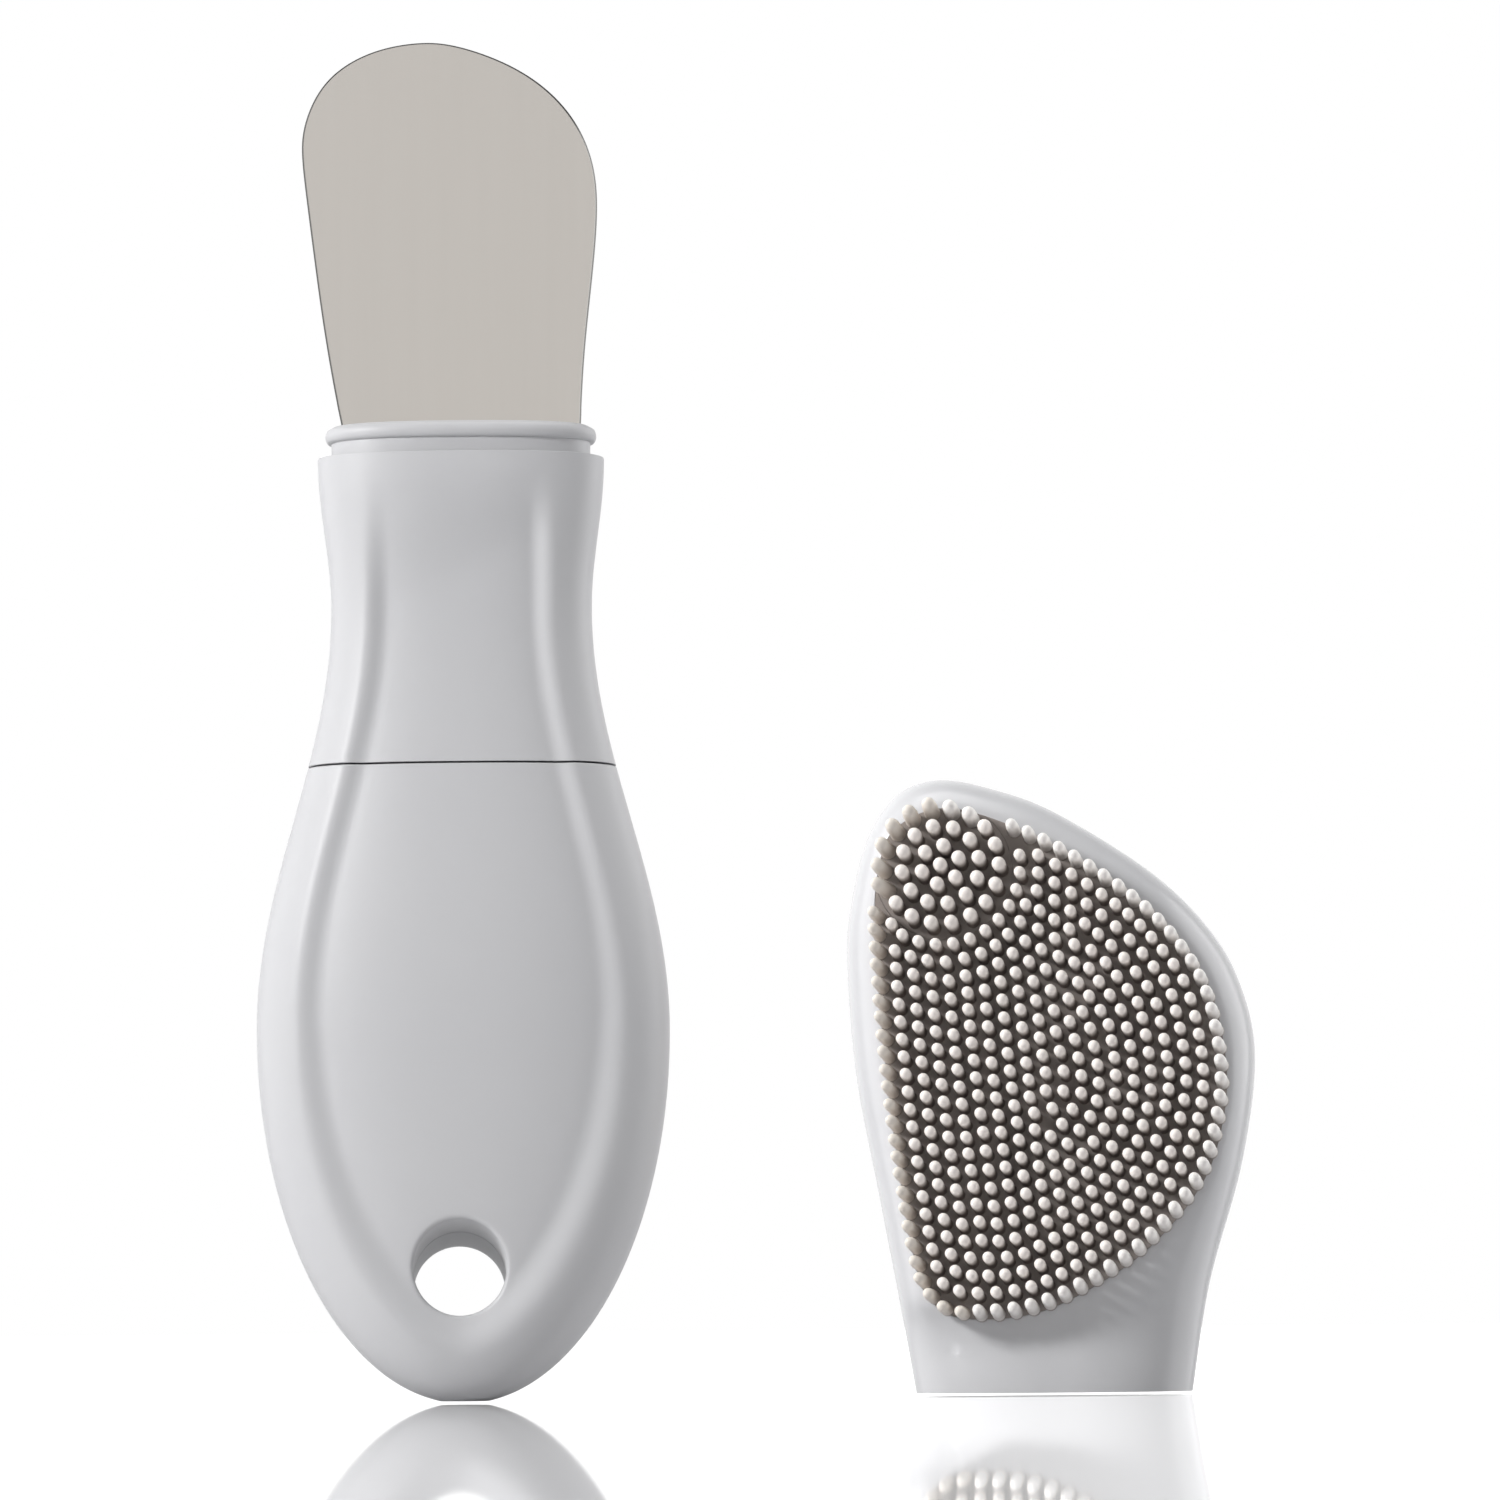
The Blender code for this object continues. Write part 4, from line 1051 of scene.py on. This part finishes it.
def coarsePlaces():
    places = [coarseCentre]
    for ring in range(1, pad["coarseRings"] + 1):
        for k in range(6 * ring):
            turn = 2 * math.pi * k / (6 * ring) + ring * pad["coarseTwist"]
            way = np.array([math.cos(turn), math.sin(turn)])
            places.append(coarseCentre + ring * pad["coarsePitch"] * way)
    return np.array(places)


def finePlaces(coarse):
    boundary = fineBoundary()
    still = len(resample(boundary, pad["fineStep"]))
    return evenOut(fillHoles(ringPlaces(boundary), boundary), still, coarse)


def rimPlaces(coarse, fine):  # more coarse strands where the border beside them is free
    border = moveInward(padCurve(24), pad["margin"])
    line = resample(border, pad["coarsePitch"] / pad["lineFineness"])
    reach = coarseRadius + pad["zoneStep"] / 2
    added = np.vstack([coarse, fine])
    more = []
    for spot in line[np.linalg.norm(line - coarseCentre, axis=1) < reach]:
        if np.linalg.norm(added - spot, axis=1).min() > pad["leastRim"] * pad["coarsePitch"]:
            more.append(spot)
            added = np.vstack([added, spot])
    return np.vstack([coarse, *more])


def addStrand(bm, spot, base, tip, outline):
    lean = np.array([pad["leanX"], -1.0, pad["leanZ"]])
    body = (base + tip) / 2
    out = outline[np.argmin(np.linalg.norm(outline - spot, axis=1))] - spot
    distance = np.linalg.norm(out)
    # Border strands take silicone copies with less painted shade at the foot; those on the left
    # also get a painted shade on the tip
    look = 0
    if distance < pad["borderShare"] * pad["margin"] * (base / pad["fineStrand"][0]) ** 2:
        out /= distance
        if out[0] < -pad["leftFacing"]:
            look = 1
            further = max(0, distance - pad["margin"])
            lean[[0, 2]] += (pad["borderLean"] + pad["farLean"] * further) * out
        else:
            look = 2
        base, body = pad["borderBody"] * base, pad["borderBody"] * body

    root = np.array([spot[0], -padFace, spot[1]])
    flare, footHeight = pad["strandFoot"]
    domeStart = pad["length"] - tip
    stations = [(-pad["strandSunk"], base * flare), (0.0, base * flare), (footHeight, base)]
    stations.append((domeStart * pad["bodyAt"], body))
    for rise in np.linspace(0, math.pi / 2, pad["domeSteps"] + 1)[:-1]:
        stations.append((domeStart + tip * math.sin(rise), tip * math.cos(rise)))
    sides = pad["strandSides"]
    turns = [2 * math.pi * k / sides for k in range(sides)]
    circle = [np.array([math.cos(turn), 0, math.sin(turn)]) for turn in turns]
    faces = []
    ring = None
    for up, radius in stations:
        row = addRing(bm, [root + lean * up + radius * way for way in circle])
        if ring:
            for k in range(sides):
                faces.append(bm.faces.new((ring[k], ring[k - 1], row[k - 1], row[k])))
        else:
            faces.append(bm.faces.new(row))
        ring = row
    end = bm.verts.new(root + lean * (domeStart + tip))
    faces += [bm.faces.new((ring[k - 1], ring[k], end)) for k in range(sides)]
    for face in faces:
        face.material_index = look


def discShape(radius):
    turns = np.linspace(0, 2 * math.pi, 121)[:-1]
    return coarseCentre + radius * np.column_stack([np.cos(turns), np.sin(turns)])


# The whole slab without the coarse zone's disc, or that disc of it alone
def padSlab(radius, operation):
    spot = Vector((0, 0, 0))
    outline = moveInward(padCurve(16), pad["inset"])
    slab = meshObject(plateShape(outline, -padFace, -padBack), "slab", spot)
    disc = plateShape(discShape(radius), -padFace - 1, -padBack + 1)
    cutOut(slab, "zone_disc", disc, spot, operation)
    shaped = bmesh.new()
    shaped.from_mesh(slab.data)
    bmesh.ops.scale(shaped, vec=(1 / mm, 1 / mm, 1 / mm), verts=shaped.verts)
    bpy.data.objects.remove(slab)
    return shaped


def padZone(name, slab, places, strand, node):
    outline = padCurve(24)
    for spot in places:
        addStrand(slab, spot, *strand, outline)
    piece = finishMesh(slab, name, capSpot, "cap", silicones, node, 50)


def padPieces():
    split = coarseRadius + pad["zoneStep"] / 2
    fineSlab = padSlab(split + pad["zoneGap"], "DIFFERENCE")
    coarseSlab = padSlab(split - pad["zoneGap"], "INTERSECT")
    coarse = coarsePlaces()
    fine = finePlaces(coarse)
    coarse = rimPlaces(coarse, fine)
    padZone("pad_fine", fineSlab, fine, pad["fineStrand"], "pad_fine_zone")
    padZone("pad_coarse", coarseSlab, coarse, pad["coarseStrand"], "pad_coarse_zone")


padPieces()
print("pad ready")

# Pieces kept from the frame
kept = {"pad_retainer": innerPlastic, "tang_pin_left": bladeSteel, "tang_pin_right": bladeSteel}
for node, mat in kept.items():
    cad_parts[node].data.materials.clear()
    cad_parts[node].data.materials.append(mat)


# Floor, light and camera

studio = {
    "floorSize": 6,
    "floorDrop": 0.0002,  # the floor lies this far below the object
    "floorColour": (0.69, 0.69, 0.70),
    "floorMetal": 0.66,
    "floorRoughness": 0.025,
    "floorCloud": 40,
    "floorLift": (0.17, 0.42),  # camera-only glow below the handle and below the cap: it whitens the floor and lightens the mirror images in it, and the stronger glow below the cap is a painted lightening of the cap's reflection
    "liftBetween": (-0.005, 0.012),  # where the one goes over into the other
    "sideGlow": (0.0, 0.16),  # light from the left and from the right
    "glowBetween": (-0.9, 0.6),
    "glowColour": (0.97, 0.98, 1.0),
    "whiteCards": (0.60, 0.90),  # how far to the front or the back a reflection sees white
    "lampTarget": (0, 0, 0.06),
    "lamps": [  # azimuth from the camera, height angle, distance, size, power, body it lights
        ("handleKey", -50, 21, 0.80, 0.16, 4.45, "handle"),
        ("capKey", -60, 24, 0.80, 0.15, 6.8, "cap"),
        ("leftSoft", -95, 16, 0.80, 0.90, 3.7, None),
        ("rightSoft", 100, 12, 0.80, 0.90, 6.2, None),
        ("above", 0, 87, 0.80, 0.60, 3.0, None),
    ],
    "cameraDistance": 0.600,
    "cameraX": -0.00154,
    "cameraHeight": 0.008,
    "cameraTilt": 5.3332,
    "cameraRoll": 0.5,
    "cameraAngle": 14.0865,
}


def makeFloor():
    under = (0, 0, -studio["floorDrop"])
    bpy.ops.mesh.primitive_plane_add(size=studio["floorSize"], location=under)
    floor = bpy.context.object
    floor.name = "floor"
    mat, tree, shader = newMaterial("floor_gloss")
    rough = studio["floorRoughness"]
    cloud = grain(tree, studio["floorCloud"], detail=2)
    tree.links.new(toRange(tree, cloud, rough * 0.9, rough * 1.1), shader.inputs["Roughness"])
    across = splitAxes(tree, localPlace(tree))["X"]
    # Camera-only glow that whitens the floor, stronger below the cap: a painted lightening of the
    # cap's reflection there
    glow = toRange(tree, across, *studio["floorLift"], *studio["liftBetween"])
    path = tree.nodes.new("ShaderNodeLightPath")
    lift = combine(tree, "MULTIPLY", path.outputs["Is Camera Ray"], glow)
    tree.links.new(lift, shader.inputs["Emission Strength"])
    shader.inputs["Emission Color"].default_value = (1, 1, 1, 1)
    shader.inputs["Base Color"].default_value = (*studio["floorColour"], 1)
    shader.inputs["Metallic"].default_value = studio["floorMetal"]
    shader.inputs["IOR"].default_value = 1.45
    floor.data.materials.append(mat)
    return floor


# White for the camera and for reflections to the front and the back, dim from the sides otherwise
def makeWorld():
    world = bpy.data.worlds.new("studio")
    world.use_nodes = True
    bpy.context.scene.world = world
    tree = world.node_tree
    tree.nodes.clear()
    path = tree.nodes.new("ShaderNodeLightPath").outputs
    way = splitAxes(tree, tree.nodes.new("ShaderNodeTexCoord").outputs["Generated"])
    cards = toRange(tree, combine(tree, "ABSOLUTE", way["Y"]), 0, 1, *studio["whiteCards"])
    mirrored = combine(tree, "MULTIPLY", path["Is Glossy Ray"], cards)
    seen = combine(tree, "MAXIMUM", path["Is Camera Ray"], mirrored)
    white = combine(tree, "MAXIMUM", seen, path["Is Transmission Ray"])
    across = toRange(tree, way["X"], *studio["sideGlow"], *studio["glowBetween"])
    dim = addNode(tree, "ShaderNodeBackground", Color=(*studio["glowColour"], 1))
    tree.links.new(across, dim.inputs["Strength"])
    bright = addNode(tree, "ShaderNodeBackground", Color=(1, 1, 1, 1), Strength=1.0)
    mix = tree.nodes.new("ShaderNodeMixShader")
    tree.links.new(white, mix.inputs["Fac"])
    tree.links.new(dim.outputs["Background"], mix.inputs[1])
    tree.links.new(bright.outputs["Background"], mix.inputs[2])
    out = tree.nodes.new("ShaderNodeOutputWorld")
    tree.links.new(mix.outputs["Shader"], out.inputs["Surface"])


def areaLamp(name, place, size, power, target):
    data = bpy.data.lights.new(name, "AREA")
    data.shape = "SQUARE"
    data.size = size
    data.energy = power
    lamp = bpy.data.objects.new(name, data)
    bpy.context.scene.collection.objects.link(lamp)
    lamp.location = place
    lamp.rotation_euler = (target - lamp.location).to_track_quat("-Z", "Y").to_euler()
    return lamp


def linkTo(lamp, things):
    group = bpy.data.collections.new(lamp.name + "_lights")
    for thing in things:
        group.objects.link(thing)
    lamp.light_linking.receiver_collection = group
    lamp.light_linking.blocker_collection = group


def makeLamps(floor):
    lit = {"handle": [*bodyPieces["handle"], floor], "cap": bodyPieces["cap"]}
    target = Vector(studio["lampTarget"])
    for name, azimuth, rise, distance, size, power, body in studio["lamps"]:
        angle, up = math.radians(azimuth), math.radians(rise)
        level = math.cos(up)
        way = Vector((math.sin(angle) * level, -math.cos(angle) * level, math.sin(up)))
        lamp = areaLamp(name, target + distance * way, size, power, target)
        if body:
            linkTo(lamp, lit[body])


def makeCamera():
    data = bpy.data.cameras.new("camera")
    data.sensor_fit = "VERTICAL"
    data.angle = math.radians(studio["cameraAngle"])
    camera = bpy.data.objects.new("camera", data)
    bpy.context.scene.collection.objects.link(camera)
    ahead = handleSpot.y - studio["cameraDistance"]
    camera.location = (studio["cameraX"], ahead, studio["cameraHeight"])
    upright = Matrix.Rotation(math.radians(90 + studio["cameraTilt"]), 3, "X")
    roll = Matrix.Rotation(math.radians(-studio["cameraRoll"]), 3, "Z")
    camera.rotation_euler = (upright @ roll).to_euler()
    bpy.context.scene.camera = camera


floor = makeFloor()
makeWorld()
makeLamps(floor)
makeCamera()
bpy.context.scene.view_settings.view_transform = "Standard"
print("stage ready")
